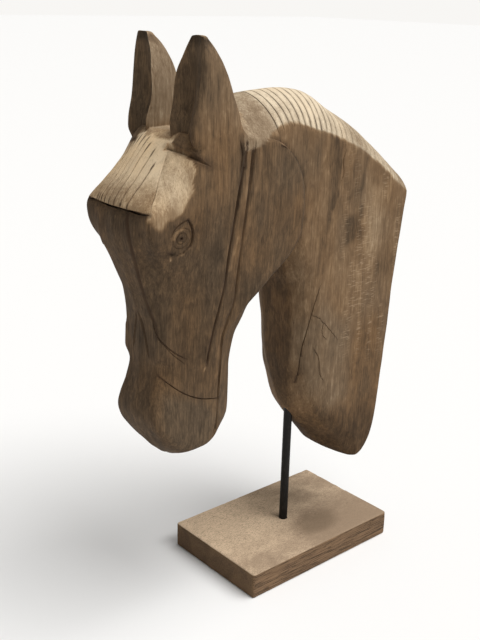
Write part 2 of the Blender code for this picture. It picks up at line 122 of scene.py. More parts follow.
def softened(grid, around=2, along=0):
    # each point goes half way to the middle of its neighbours, a few times
    for _ in range(around):
        grid = 0.5 * grid + 0.25 * (np.roll(grid, 1, axis=1) + np.roll(grid, -1, axis=1))
    for _ in range(along):
        grid = grid.copy()
        grid[1:-1] = 0.5 * grid[1:-1] + 0.25 * (grid[:-2] + grid[2:])
    return grid


def wholeRing(half):
    # a +X half that starts and ends on the middle plane, and its mirror image
    return np.concatenate([half, half[..., 1:-1, :][..., ::-1, :] * np.array([-1.0, 1.0, 1.0])], axis=-2)


plinthTop = np.array([0, 0, 0.030])  # in metres, where level 0 is


def inMetres(points):
    # millimetres above the plinth's top turned into metres above the floor
    return np.asarray(points, float) * 0.001 + plinthTop


def inMillimetres(points):
    # metres above the floor turned back into millimetres above the plinth's top
    return (points - plinthTop) * 1000


def gridPiece(name, grid, joined=False):
    # one quad for each cell of a grid that is closed around; its ends are capped or joined
    stations, around = grid.shape[:2]
    index = np.arange(stations * around).reshape(stations, around)
    first, second = (index, np.roll(index, -1, axis=0)) if joined else (index[:-1], index[1:])
    quads = np.stack([first, np.roll(first, -1, axis=1), np.roll(second, -1, axis=1), second], axis=-1)
    faces = quads.reshape(-1, 4).tolist()
    if not joined:
        faces += [index[0, ::-1].tolist(), index[-1].tolist()]
    mesh = bpy.data.meshes.new(name)
    mesh.from_pydata(inMetres(grid).reshape(-1, 3).tolist(), [], faces)
    p = grid.reshape(-1, 3)
    a, b, c, d = (p[quads.reshape(-1, 4)[:, k]] for k in range(4))
    if np.sum(a * np.cross(b, c) + a * np.cross(c, d)) < 0:
        mesh.flip_normals()
    mesh.update()
    piece = bpy.data.objects.new(name, mesh)
    bpy.context.scene.collection.objects.link(piece)
    return piece


def combine(piece, tool, operation):
    # the Boolean's result becomes the piece's own mesh, and the tool goes
    step = piece.modifiers.new(operation, "BOOLEAN")
    step.operation, step.solver, step.object = operation, "MANIFOLD", tool
    evaluated = piece.evaluated_get(bpy.context.evaluated_depsgraph_get())
    made = bpy.data.meshes.new_from_object(evaluated)
    piece.modifiers.remove(step)
    old = piece.data
    made.name = old.name
    piece.data = made
    bpy.data.meshes.remove(old)
    bpy.data.objects.remove(tool, do_unlink=True)


def pointsOf(mesh, what="co"):
    # the places of a mesh's points, or the directions that they face
    source = mesh.vertices if what == "co" else mesh.vertex_normals
    values = np.empty(len(mesh.vertices) * 3, np.float32)
    source.foreach_get("co" if what == "co" else "vector", values)
    return values.reshape(-1, 3).astype(float)


# The head: lines that run up it, each row (level, half width, y)

headLines = {
    "faceCentre": [
        (147.5, 0, -184), (158, 0, -196), (166, 0, -203), (175, 0, -208), (189, 0, -214.5), (203, 0, -218.5),
        (233, 0, -213.5), (250, 0, -211.5), (298, 0, -212.5), (312, 0, -215.5), (341, 0, -224),
        (360, 0, -231), (380, 0, -238), (396, 0, -240.5), (410, 0, -239), (415.4, 0, -235.5),
        (417, 0, -240.5), (443, 0, -221.5), (467, 0, -202), (478, 0, -190), (482, 0, -184)],
    "noseEdge": [
        (147.5, 4, -183), (158, 14, -193.5), (166, 22, -200), (175, 29, -206), (189, 33, -213.5),
        (203, 31.5, -217), (213, 29, -216), (233, 24, -211), (250, 20, -209), (256.5, 21.5, -208.5),
        (263.5, 29, -208.5), (298, 26, -209.5), (312, 22, -213), (331, 19, -218), (341, 20, -222),
        (360, 23, -229), (380, 26.5, -236.5), (396, 25, -239), (410, 22, -237.5), (415.4, 22, -234),
        (417, 22, -238.7), (443, 22, -218.8), (467, 18, -199.8), (478, 17, -189.5), (482, 17, -183.5)],
    "cheekRidge": [
        (147.5, 8, -181), (158, 24, -189), (166, 31, -196), (175, 35.5, -201.5), (184, 37.5, -205.5),
        (189, 37, -208), (203, 34.5, -212), (213, 32, -211.5), (233, 27.5, -208.5), (250, 24.5, -206.3),
        (256.5, 26.5, -205.7), (263.5, 29.5, -205), (276, 31, -204.8), (311, 31, -206), (346, 35, -211),
        (367, 42, -217.5), (380, 49, -227.5), (392, 52.5, -233.5), (404, 52, -236.5), (410, 51.5, -237),
        (415.4, 50.5, -235), (417, 49.5, -234.5), (430, 45, -222.5), (443.5, 40.5, -211.5),
        (457, 35, -201.5), (467, 32, -196), (478, 30, -188), (482, 30, -183)],
    "sideFront": [
        (147.5, 14, -176), (158, 33, -179), (166, 37, -181), (175, 38.5, -183), (189, 39.5, -185),
        (213, 39, -186), (250, 36, -187), (285, 38, -186), (311, 40, -185), (346, 44.5, -189),
        (380, 51, -198), (404, 55, -208), (420, 57, -202), (433, 57, -191.5), (445, 57, -187),
        (457, 57, -182.5), (467, 56.5, -178), (478, 56, -172), (482, 52, -170)],
    "cheekLine": [
        (147.5, 15, -168), (158, 35, -167), (166, 38, -165.5), (175, 39, -164.5), (213, 40, -161),
        (249, 42.5, -158.5), (270, 44.5, -156.5), (285, 46, -154), (310, 49, -149), (337, 52, -144.5),
        (367, 54, -142), (403, 56, -137), (429, 57, -133), (452, 57, -128), (474, 56.5, -124.5),
        (482, 50, -130)],
    "jawLine": [
        (147.5, 13, -162), (158, 35, -158), (166, 39, -150), (178, 40, -143), (214, 40.5, -141.2),
        (244, 42, -140.8), (276, 44.5, -140.8), (292, 46, -136.5), (317, 49, -129.5), (364, 53.5, -127),
        (423, 57, -122), (451, 57, -119), (474, 56.5, -117), (482, 50, -124)],
    "jawEdge": [
        (147.5, 11, -157), (158, 34, -152), (166, 38.5, -145), (175, 39.5, -139), (184, 39.5, -137),
        (195, 39, -139), (236, 41.5, -139), (270, 44, -139), (282, 45, -134), (298, 47, -122),
        (316, 49, -101), (322, 49.5, -93), (335, 50, -78), (343, 50.5, -66), (360, 51.5, -50),
        (377, 52.5, -42), (404, 53.5, -41), (429, 54, -45), (447, 54.5, -54), (460, 55, -66),
        (471, 55.5, -84), (482, 48, -118)],
    "jawBack": [
        (147.5, 5, -157), (158, 19, -144), (166, 23, -131), (175, 25, -121), (184, 25.5, -115),
        (195, 25, -113), (236, 24.5, -112.5), (253, 24, -109.5), (270, 24, -105), (282, 24, -97),
        (298, 24, -87), (316, 25, -70), (335, 32, -56), (343, 36, -51), (360, 42, -40), (377, 44, -35),
        (404, 45, -34), (429, 45, -38), (447, 45, -47), (460, 45, -60), (471, 45, -77), (482, 48, -112)],
    "jawCentre": [
        (147.5, 0, -156), (158, 0, -141), (166, 0, -128), (175, 0, -118), (195, 0, -110), (253, 0, -106),
        (282, 0, -94), (316, 0, -68), (343, 0, -50), (377, 0, -34), (429, 0, -37), (471, 0, -76),
        (482, 0, -111)],
}
headShape = {
    "rowStep": 2.4, "lineSteps": (0.45, 1.0, 1.6, 2.4), "lineHalfWidth": 1.7, "noseLineWider": 1.5,
    "lineDepth": 2.3, "toolMarks": 0.6, "fineMarks": 0.25, "muzzleRounding": 60,
    "offTheLine": 99.0, "farNoseTop": 372, "noseColumns": 40,
}
lineReach = {  # lowest and highest level of each carved line, and its share of the depth
    "nose": (288, 413, 0.6), "cheek": (250, 476, 0.9), "jaw": (168, 470, 0.7)}
lineAfter = {"nose": 0, "cheek": 6, "jaw": 7}  # which stretch of a row ends on the line


def walkBetween(start, end, count, fineStart=False, fineEnd=False):
    # points along the straight way from start to end in every row, and how far each is from
    # both: even steps, with a few close ones beside a carved line; the end itself is left out
    way = end - start
    length = np.maximum(np.linalg.norm(way, axis=1), 1e-6)[:, None]
    steps = np.array(headShape["lineSteps"])
    close = steps * np.minimum(1.0, 0.3 * length / steps[-1])
    low = close[:, -1:] if fineStart else 0 * length
    high = length - (close[:, -1:] if fineEnd else 0)
    even = low + (high - low) * np.linspace(0, 1, count + 1)
    parts = [0 * length]
    parts += [close[:, :-1], even[:, :1]] if fineStart else []
    parts += [even[:, 1:] if fineEnd else even[:, 1:-1]]
    parts += [length - close[:, -2::-1]] if fineEnd else []
    run = np.concatenate(parts, axis=1)
    return start[:, None] + way[:, None] * (run / length)[:, :, None], run, length - run


def pushedOut(start, end, share, swell):
    # a point on the way from start to end, moved off it to the right by swell
    way = end - start
    length = np.maximum(np.linalg.norm(way, axis=1, keepdims=True), 1e-6)
    sideways = np.stack([way[:, 1], -way[:, 0]], axis=1)
    return start + share * way + np.minimum(swell, 0.1 * length) * sideways / length


def withLevels(flat, levels):
    # each row's places in its plane, with the row's level beside them
    return np.concatenate([flat, np.broadcast_to(levels[:, None, None], flat.shape[:2] + (1,))], axis=2)


def headGrid(levels):
    # a row of points around the head at each level, in stretches from line to line, and how
    # deep the carved lines are: full depth on a line, straight down to nothing beside it
    line = {name: smoothLine(rows)(levels) for name, rows in headLines.items()}
    centre, nose, ridge, side = line["faceCentre"], line["noseEdge"], line["cheekRidge"], line["sideFront"]
    cheek, jaw, edge, back = line["cheekLine"], line["jawLine"], line["jawEdge"], line["jawBack"]
    brow = pushedOut(nose, ridge, 0.5, -1.0)
    flank = pushedOut(ridge, side, 0.5, 1.2)
    cheekSwell = pushedOut(side, cheek, 0.5, 0.8)
    jowl = pushedOut(jaw, edge, 0.6, 0.5)
    ways = [  # start, end, steps, and whether close steps start or end it
        (centre, nose, 14, False, True), (nose, brow, 4, True), (brow, ridge, 5), (ridge, flank, 7),
        (flank, side, 7), (side, cheekSwell, 13), (cheekSwell, cheek, 12, False, True),
        (cheek, jaw, 4, True, True), (jaw, jowl, 16, True), (jowl, edge, 11), (edge, back, 4),
        (back, line["jawCentre"], 13)]
    far = headShape["offTheLine"]
    points, offsets = [], {name: [] for name in lineAfter}
    for k, way in enumerate(ways):
        place, fromStart, fromEnd = walkBetween(*way)
        points.append(place)
        for name, last in lineAfter.items():
            beside = {last: fromEnd, last + 1: fromStart}
            offsets[name].append(beside.get(k, far + 0 * fromStart))
    points.append(line["jawCentre"][:, None])
    half = np.concatenate(points, axis=1)
    cut = np.zeros(half.shape[:2])
    for name, (low, high, share) in lineReach.items():
        away = np.concatenate(offsets[name] + [np.full((len(levels), 1), far)], axis=1)
        width = headShape["lineHalfWidth"] * (headShape["noseLineWider"] if name == "nose" else 1)
        shape = np.clip(1 - away / width, 0, 1)
        wander = 1 + 0.35 * np.sin(levels / 9.0 + share * 20)
        cut = np.maximum(cut, shape * share * (fadeBetween(levels, low, high) * wander)[:, None])
    farSide = cut.copy()  # the near edge of the nose alone is cut up to the lip
    farSide[levels > headShape["farNoseTop"], :headShape["noseColumns"]] = 0
    grid = wholeRing(withLevels(half, levels))
    return grid, np.concatenate([cut, farSide[:, 1:-1][:, ::-1]], axis=1)


def handTooled(grid, strength=1.0):
    # shallow hollows left by the gouge, taller than wide, always cut into the wood
    normal = gridNormals(grid)
    broad = softNoise(grid, (11, 11, 22), 3)
    fine = softNoise(grid, (3.5, 3.5, 9), 4)
    hollows = headShape["toolMarks"] * (0.5 - 0.5 * broad) + headShape["fineMarks"] * (0.5 - 0.5 * fine)
    return grid - normal * (strength * hollows)[:, :, None], normal


def makeHead():
    # rows below and above the forelock's lip: softened, rounded on the muzzle, tooled, and
    # pressed in where the carved lines run
    step = headShape["rowStep"]
    below = np.concatenate([[147.5, 149, 150.8], np.arange(153, 412, step), [412.5, 414, 415.4]])
    above = np.concatenate([[417, 418.2, 420], np.arange(422, 478, step), [479.5, 482]])
    parts = []
    for levels in (below, above):
        grid, cut = headGrid(levels)
        grid = softened(grid, around=3, along=2)
        x, y, z = grid[:, :, :1], grid[:, :, 1:2], grid[:, :, 2:]
        muzzle = (1 - ease(z, 252, 280)) * (1 - ease(y, -190, -172)) * ease(x, 2, 14)
        grid = grid + muzzle * (softened(grid, around=headShape["muzzleRounding"]) - grid)
        grid, normal = handTooled(grid)
        parts.append(grid - normal * (cut * headShape["lineDepth"])[:, :, None])
    print("head rows below and above the forelock's lip", len(below), len(above))
    return gridPiece("carvedHead", np.concatenate(parts))


# The neck: planes across it, each row (crest y, crest level, throat y, throat level,
# half width, mane height, half width of the front face, depth and swell of its chamfer)

neckPlanes = np.array([
    (-150, 492, -150, 400, 56, 24, 40, 10, 1), (-120, 503, -105, 372, 57, 34, 40, 12, 1),
    (-95, 511, -78, 356, 54, 37, 30, 14, 1), (-65, 514, -60, 350, 48, 31, 25, 16, 1),
    (-40, 515, -48, 345, 45, 34.5, 23, 18, 1), (-10, 511.5, -41, 335, 45, 39, 22, 20, 1),
    (26, 493, -36, 320, 45, 31, 22, 20, 1), (59, 475.5, -31.5, 306, 45, 26, 22, 20, 1),
    (94, 451.5, -29.5, 292, 45, 24.5, 22, 20, 1), (135, 420.5, -27.5, 272, 45, 24, 22, 19, 1),
    (168, 394, -25, 250, 45, 24, 21, 20, 1), (178, 352, -24, 224, 45, 20, 19, 23, 3),
    (178, 296, -19.5, 196, 45, 12, 15, 29, 5), (178, 240, -14.5, 175, 45, 6, 12, 32, 6),
    (178, 194, -6, 150, 45, 2, 9, 32, 7), (178, 160, 9, 129, 45, 2, 8, 30, 7),
    (178, 134, 26, 109, 45, 2, 10, 26, 6), (178, 112, 43, 91, 44.5, 2, 14, 20, 5),
    (178, 96, 59, 80.5, 44, 2, 19, 14, 3), (178, 84, 68, 76, 41, 2, 22, 9, 2),
    (178, 76, 74, 75, 36, 2, 24, 6, 1)], float)
sawnBack = [
    (60, 66), (75.5, 76), (80, 82), (90, 90.5), (100, 96), (113, 100), (153, 105), (182, 107.5),
    (230, 112), (288, 116), (340, 122), (386, 128), (427, 134), (540, 152)]
# the last two: how near and how far the dirt and painted shade in the mane's grooves reach
maneShape = {
    "pitch": 9.6, "firstAfter": 12.0, "halfWidth": 0.7, "depth": 1.25, "turn": 72.0, "step": 2.6,
    "columns": 19, "fromPlane": 2, "toPlane": 9, "dirtAndShadeNear": 0.45, "dirtAndShadeFar": 0.95,
}


def neckGrid(stations, read):
    # each plane: a dome for the mane, a flat side, a chamfer and the front face of the neck
    row = read(stations)
    crest, throat = row[:, 0:2], row[:, 2:4]
    halfWidth, mane, front, chamfer, swell = row[:, 4:9].T
    span = np.linalg.norm(throat - crest, axis=1)
    inward = (throat - crest) / span[:, None]
    last = math.radians(maneShape["turn"])
    turn = np.linspace(0, last, maneShape["columns"])
    out = np.sin(turn) / math.sin(last)
    down = 0.7 * (1 - np.cos(turn)) / (1 - math.cos(last)) + 0.3 * out**1.35  # between a round and a roof
    dome = np.stack([halfWidth[:, None] * out, mane[:, None] * down], axis=2)
    deeper = 0.5 * ease(chamfer, 12, 18) * (1 - ease(chamfer, 23, 30))
    chamfer = chamfer * (1 + deeper)  # planed back further than it is wide
    flank, sideEnd = np.minimum(halfWidth, 45.0), span - chamfer
    swollen = 0.62 * flank + 0.38 * front + swell
    corner = [np.stack(pair, axis=1) for pair in (
        (halfWidth + 0.1, mane + 1.6), (flank + 0.6, 0.5 * (mane + sideEnd)), (flank, sideEnd),
        (swollen, sideEnd + 0.62 * chamfer), (front, span), (0 * front, span + 0.8))]
    parts = [dome]
    for start, end, count in zip(corner[:-1], corner[1:], (22, 22, 7, 6, 8)):
        parts.append(walkBetween(start, end, count)[0])
    parts.append(corner[-1][:, None])
    flat = np.concatenate(parts, axis=1)
    x, depth = flat[:, :, 0], flat[:, :, 1]
    place = crest[:, None] + inward[:, None] * depth[:, :, None]
    return wholeRing(np.concatenate([x[:, :, None], place], axis=2)), inward


def makeNeck():
    # planes along the crest, close ones beside every mane groove, and a V pressed into the
    # dome at each; gives the neck and the lines where the grooves' dirt and painted shade lie
    run = np.concatenate([[0.0], np.cumsum(np.hypot(*np.diff(neckPlanes[:, :2], axis=0).T))])
    read = smoothLine(np.column_stack([run, neckPlanes]))
    first, last = run[maneShape["fromPlane"]] + maneShape["firstAfter"], run[maneShape["toPlane"]]
    width, columns = maneShape["halfWidth"], maneShape["columns"]
    grooves = np.arange(first, last, maneShape["pitch"])
    grooves = grooves + 0.5 * np.sin(grooves * 1.7)  # cut by eye, so not quite even
    near = (grooves[:, None] + width * np.array([-1, -0.5, 0, 0.5, 1])).ravel()
    between = np.concatenate([grooves[:-1] + share * np.diff(grooves) for share in (0.36, 0.64)])
    plain = np.arange(0, run[-1], maneShape["step"])
    plain = plain[(plain < first - 2) | (plain > last)]
    stations = np.sort(np.concatenate([near, between, plain, [run[-1]]]))
    grid, inward = neckGrid(stations, read)
    grid = handTooled(softened(grid, around=2), 0.6)[0]
    gap = np.abs(stations[:, None] - grooves[None])
    away, which = gap.min(axis=1), gap.argmin(axis=1)
    strength = (1 - 0.6 * ease(which, 7, 16)) * (1 + 0.2 * np.sin(which * 2.3))
    depth = maneShape["depth"] * np.clip(1 - away / width, 0, 1) * strength
    column = np.minimum(np.arange(grid.shape[1]), grid.shape[1] - np.arange(grid.shape[1]))
    onMane = (column < columns) * np.where(column > columns - 3, 0.75, 1.0)
    grid[:, :, 1:] += inward[:, None] * (depth[:, None] * onMane)[:, :, None]
    grid[:, :, 0] -= np.sign(grid[:, :, 0]) * 0.6 * depth[:, None] * onMane * column / (columns - 1)
    print("mane grooves", len(grooves))
    neck = gridPiece("carvedNeck", grid)
    combine(neck, makeBackCut(), "DIFFERENCE")
    dirtAndShade = []
    for k, station in enumerate(grooves):
        ring, down = neckGrid(np.array([station]), read)
        line = ring[0][column < columns]
        line = line[np.argsort(line[:, 0])]
        line[:, 1:] += down[0] * 0.8
        weaker = 0.62 * float(ease(k, 6, 15))
        dirtAndShade.append((densely(line), maneShape["dirtAndShadeNear"], maneShape["dirtAndShadeFar"], 1.0 - weaker))
    return neck, dirtAndShade


def makeBackCut():
    # a block behind the neck, whose front is the sawn face with shallow saw marks in it
    reach, behind = 80.0, 240.0
    levels = np.concatenate([np.arange(60, 200, 4.0), np.arange(200, 541, 8.0)])
    y = smoothLine(sawnBack)(levels)[:, 0]
    across = np.linspace(-reach, reach, 41)
    face = np.stack(np.broadcast_arrays(across[None], y[:, None], levels[:, None]), axis=2)
    face[:, :, 1] -= 0.35 + 0.3 * softNoise(face, (9, 9, 14), 8)
    far = np.array([[(reach, behind, level), (-reach, behind, level)] for level in levels])
    return gridPiece("backCut", np.concatenate([face, far], axis=1))


# The ears: lines that run up them, each row (level, half width, y)

earLines = {
    "innerRim": [
        (450, 30, -180), (462, 27, -182), (470, 23, -184), (479, 19, -189.5), (489, 18, -190),
        (506, 16, -185.5), (515, 16, -184), (536, 19, -182.5), (551, 24.5, -178.5), (560, 29, -177),
        (568.5, 34.5, -175.5)],
    "outerRim": [
        (450, 53, -172), (458, 53.5, -178), (463, 54, -181.5), (470, 54.5, -186), (479, 54.5, -190.5),
        (488, 54.5, -190), (510, 54.5, -185.5), (540, 54.5, -180.5), (556, 52, -178.5), (568.5, 50, -175.5)],
    "innerBack": [
        (450, 26, -119), (483, 26, -125), (502, 26, -133), (518, 26.5, -140), (530, 27, -143.5),
        (540, 28, -147.5), (549, 29.5, -152.5), (558, 31.5, -158.5), (568.5, 36, -169)],
    "outerBack": [
        (450, 56.5, -118.5), (478, 56.5, -119), (483, 56, -126), (502, 56, -133), (518, 56, -140),
        (530, 55.5, -144.5), (540, 55, -149.5), (549, 54, -155), (559, 52, -162), (568.5, 49.5, -171)],
    "hollow": [
        (450, 1, 0), (462, 4, 0), (472, 9, 0), (490, 12, 0), (515, 13, 0), (540, 9, 0), (558, 4, 0),
        (568.5, 2, 0)],
}
earShape = {
    "rowStep": 2.2, "frontColumns": 24, "columns": (4, 7, 9, 5, 7, 8, 11, 11), "toolMarks": 0.8,
    "rolledColumn": 26, "rolledSpread": 5.0, "rolling": 40,
    "tip": ((-3, 0.03), (-2, 0.10), (-1, 0.30)),  # last rows, and how far each is drawn in
}


def makeEar(side):
    # a row around the ear at each level: the hollowed front, then around the back by way of
    # pushed out points; its outer rim is rolled and its tip drawn in
    levels = np.concatenate([np.arange(450, 566, earShape["rowStep"]), [567, 568.2, 568.5]])
    line = {name: smoothLine(rows)(levels) for name, rows in earLines.items()}
    inner, outer, innerBack, outerBack = (line[n] for n in ("innerRim", "outerRim", "innerBack", "outerBack"))
    share = np.linspace(0, 1, earShape["frontColumns"] + 1)[:-1]
    front = inner[:, None] + (outer - inner)[:, None] * share[:, None]
    front[:, :, 1] += line["hollow"][:, :1] * np.sin(np.pi * share**0.75) ** 1.3
    way = [
        outer, pushedOut(outer, outerBack, 0.14, 2.0), pushedOut(outer, outerBack, 0.45, 1.9),
        pushedOut(outer, outerBack, 0.85, 0.6), pushedOut(outerBack, innerBack, 0.1, 0.3),
        pushedOut(outerBack, innerBack, 0.55, 1.2), pushedOut(innerBack, inner, 0.02, 0.2),
        pushedOut(innerBack, inner, 0.5, 1.0), inner]
    parts = [front] + [walkBetween(*pair)[0] for pair in zip(way[:-1], way[1:], earShape["columns"])]
    grid = withLevels(np.concatenate(parts, axis=1), levels)
    grid[:, :, 0] *= side
    fromRoll = (np.arange(grid.shape[1]) - earShape["rolledColumn"]) / earShape["rolledSpread"]
    rolled = np.exp(-0.5 * fromRoll**2)[None, :, None]
    grid = softened(grid, around=2, along=2)
    grid = grid + rolled * (softened(grid, around=earShape["rolling"]) - grid)
    grid = handTooled(grid, earShape["toolMarks"])[0]
    for row, shrink in earShape["tip"]:
        middle = grid[row].mean(axis=0)
        grid[row, :, :2] = middle[:2] + (grid[row, :, :2] - middle[:2]) * (1 - shrink)
        grid[row, :, 2] = levels[row] - 0.5 * np.abs(softNoise(grid[row], 4.0, 41))
    return gridPiece("ear", grid)


# Carved lines, as V cuts that follow the surface

cutShape = {  # width, depth and how dark the dirt and painted shade in it are
    "mouth": (1.8, 1.5, 0.8), "fold": (2.2, 1.2, 0.5), "lid": (1.9, 1.2, 0.4), "lidBack": (3.4, 2.4, 0.95),
    "ball": (2.4, 0.9, 0.0), "iris": (1.6, 0.7, 0.05), "lidLow": (2.6, 1.6, 0.9), "hair": (1.9, 1.6, 1.0),
    "edge": (1.8, 0.9, 0.3), "nose": (3.6, 1.5, 0.5), "crack": (0.8, 1.0, 0.4), "lip": (3.0, 3.2, 0.8),
    "longCrack": (1.0, 1.3, 0.75), "split": (1.6, 1.6, 0.85), "notch": (11.0, 6.0, 0.6),
}
forelockShape = {
    "first": 21.5, "spacing": 10.4, "closer": 0.42, "bottom": 416.6,
    "tops": (455, 467, 472, 475, 476, 476, 474, 472), "lipEnds": (-51.5, 50.2), "lipLevel": 415.0,
    "edge": [(49, 418.5), (44, 427), (34, 447), (30, 458), (27, 470)],
}
eyeShape = {"y": -199.0, "level": 390.0, "ball": 20.0, "iris": 11.0, "pupil": 4.2}
sideCuts = {  # (y, level) along each line, and its kind of cut
    "mouth": ([(-205.5, 246), (-200, 240), (-189, 230), (-175, 221), (-158, 214), (-139, 210.5)], "mouth"),
    "eyeTop": ([(-211.5, 393), (-208.5, 399), (-203, 403.5), (-198, 406), (-193, 408)], "lid"),
    "eyeBack": (
        [(-194.5, 408), (-190, 402), (-187.5, 396), (-186.5, 390), (-187.5, 383), (-191.5, 378)], "lidBack"),
    "eyeLow": ([(-189, 380), (-194, 376), (-200, 374.5), (-206, 375), (-211, 377)], "lidLow"),
    "cheekFold": ([(-210, 306), (-208, 289), (-201, 278), (-190, 268), (-180, 262)], "fold"),
    "cheekFoldBelow": ([(-206, 283), (-196, 270), (-182, 257)], "edge"),
    "cheekSplit": ([(-80, 466), (-70, 462), (-61, 456), (-50, 442), (-43, 427)], "split"),
    "neckCrack": ([(-12, 276), (-3, 270), (5, 263), (18, 250), (29, 238)], "crack"),
    "neckCrackLong": ([(-4, 308), (-9, 290), (-12, 268), (-16, 232), (-14, 189)], "longCrack"),
    "neckCrackBranch": ([(5, 263), (3, 252), (10, 243)], "crack"),
    "neckCrackHigh": ([(24, 452), (20, 440), (22, 428), (18, 418)], "edge"),
    "neckCrackLow": ([(-6, 236), (2, 220), (4, 204), (12, 190)], "edge"),
    "behindEar": ([(-134, 475), (-131, 462), (-133, 446)], "fold"),
    "behindEarLow": ([(-114, 472), (-117, 450), (-120, 424)], "fold"),
}
besideEar = {  # for each side, (y, level) along a cut that starts wide, and its kind
    1: ([(-195, 470), (-188, 465), (-180, 459.5), (-169, 454)], "notch"),
    -1: ([(-186, 463), (-180, 459), (-170, 455)], "fold"),
}
noseCuts = {  # for each side, (x, level) down the front of the nose
    1: [(14.5, 264), (12.5, 272), (8, 290), (2.5, 309)], -1: [(-11, 268), (-6, 290), (-1.0, 308)]}


def alongCurve(knots, step=2.0):
    # places a fixed step apart along a smooth curve through a few chosen ones
    knots = np.array(knots, float)
    run = np.concatenate([[0.0], np.cumsum(np.linalg.norm(np.diff(knots, axis=0), axis=1))])
    return smoothLine(np.column_stack([run, knots]))(np.linspace(0, run[-1], max(4, int(run[-1] / step) + 1)))


def onSurface(tree, starts, aim):
    # where rays from the start points first meet the wood, in millimetres, and its normals
    hits = [tree.ray_cast(Vector(p), Vector(aim)) for p in inMetres(starts)]
    found = [(h[0], h[1]) for h in hits if h[0] is not None]
    points = inMillimetres(np.array([f[0][:] for f in found]))
    return points, np.array([f[1][:] for f in found])


def vCut(points, normals, kind, closed=False, oneEnded=False):
    # a triangle swept along the line: its point under the surface, its base above it;
    # gives the cut and the line where its dirt and painted shade lie
    width, depth, dirtAndShade = cutShape[kind]
    lift = 1.5
    normals = normals / np.linalg.norm(normals, axis=1, keepdims=True)
    for _ in range(3 if len(points) > 6 else 0):  # calmer, so that the cut doesn't twist on tool marks
        normals[1:-1] = 0.5 * normals[1:-1] + 0.25 * (normals[:-2] + normals[2:])
    ahead = np.roll(points, -1, axis=0) - np.roll(points, 1, axis=0)
    if not closed:
        ahead[0], ahead[-1] = points[1] - points[0], points[-1] - points[-2]
    across = np.cross(ahead, normals)
    across /= np.linalg.norm(across, axis=1, keepdims=True)
    place = np.linspace(0, 1, len(points))
    taper = np.ones(len(points)) if closed else np.minimum(1, 0.15 + 5 * np.minimum(place, 1 - place))
    if oneEnded:
        taper = 1.02 - place
    wobble = 1 + 0.18 * softNoise(points, 7.0, 12)
    deep = (depth * taper * wobble)[:, None]
    spread = (0.5 * width * taper * wobble)[:, None] * (1 + lift / deep)
    spread = np.minimum(spread, 3.2 * width)
    left, right = points + normals * lift + across * spread, points + normals * lift - across * spread
    tool = gridPiece("cut", np.stack([left, points - normals * deep, right], axis=1), joined=closed)
    inside = points - normals * deep * 0.7
    if closed:
        inside = np.concatenate([inside, inside[:1]])
    return tool, (densely(inside), 0.45 * depth, math.hypot(0.5 * width, 0.7 * depth), dirtAndShade)


def densely(line, step=0.7):
    # places about a step apart along straight stretches between a line's points
    run = np.concatenate([[0.0], np.cumsum(np.linalg.norm(np.diff(line, axis=0), axis=1))])
    at = np.linspace(0, run[-1], max(2, int(run[-1] / step)))
    return np.column_stack([np.interp(at, run, line[:, k]) for k in range(3)])


def eyeRing(kind, count):
    # a circle round the middle of the eye
    angle = np.linspace(0, 2 * math.pi, count, endpoint=False)
    y, z = 0.5 * eyeShape[kind] * np.cos(angle), 0.5 * eyeShape[kind] * np.sin(angle)
    return np.column_stack([y + eyeShape["y"], z + eyeShape["level"]])


def carveLines(piece):
    # each line is found on the wood by rays and cut; gives the lines where the dirt and painted shade lie
    tree = BVHTree.FromObject(piece, bpy.context.evaluated_depsgraph_get())
    tools, dirtAndShade = [], []

    def fromSide(side, places):
        # where rays from 200 mm beside the carving meet it
        starts = np.column_stack([np.full(len(places), 200.0 * side), places])
        return onSurface(tree, starts, (-side, 0, 0))

    def fromFront(x, level):
        # where rays from 300 mm in front of the rod meet the carving
        starts = np.column_stack([x, np.full(len(x), -300.0), level])
        return onSurface(tree, starts, (0, 1, 0))

    def cut(surface, kind, **shape):
        # a V cut along places on the wood, noted with its dirt and painted shade
        tool, line = vCut(*surface, kind, **shape)
        tools.append(tool)
        dirtAndShade.append(line)

    for side in (1, -1):
        for places, kind in sideCuts.values():
            places = alongCurve(places)
            if kind == "crack":  # cracks jump from strand to strand
                places += np.random.default_rng(5).uniform(-0.9, 0.9, places.shape)
            cut(fromSide(side, places), kind)
        places, kind = besideEar[side]
        cut(fromSide(side, alongCurve(places)), kind, oneEnded=True)
        cut(fromSide(side, eyeRing("ball", 36)), "ball", closed=True)
        cut(fromSide(side, eyeRing("iris", 30)), "iris", closed=True)
        pupil, normals = fromSide(side, eyeRing("pupil", 14))
        middle = fromSide(side, np.array([[eyeShape["y"], eyeShape["level"]]]))[0]
        bottom = middle + 0.3 * (pupil - middle) - 2.4 * normals
        tools.append(gridPiece("pupil", np.stack([bottom, pupil + 1.5 * normals])))
        dirtAndShade.append((densely(middle + 0.4 * (pupil - middle) - 1.5 * normals), 1.6, 2.4, 0.9))
        cut(fromFront(*alongCurve(noseCuts[side]).T), "nose")
        edge = alongCurve(forelockShape["edge"]) * np.array([side, 1])
        cut(fromFront(*edge.T), "edge")
    for i, top in enumerate(forelockShape["tops"]):
        x = forelockShape["first"] - forelockShape["spacing"] * i + forelockShape["closer"] * i * i
        level = np.arange(forelockShape["bottom"], top, 2.0)
        wander = x + 0.45 * np.sin(level / 11 + i) + 2.0 * ease(level, 430, 470) * (i < 2)
        cut(fromFront(wander, level), "hair")
    across = np.linspace(*forelockShape["lipEnds"], 60)
    cut(fromFront(across, forelockShape["lipLevel"] + 0.5 * np.sin(across / 7)), "lip")
    for tool in tools:
        combine(piece, tool, "DIFFERENCE")
    print("carved lines", len(dirtAndShade), "triangles", sum(len(p.vertices) - 2 for p in piece.data.polygons))
    return dirtAndShade


rodHole = {"radius": 5.3, "corners": 48, "levels": (20.0, 194.0)}


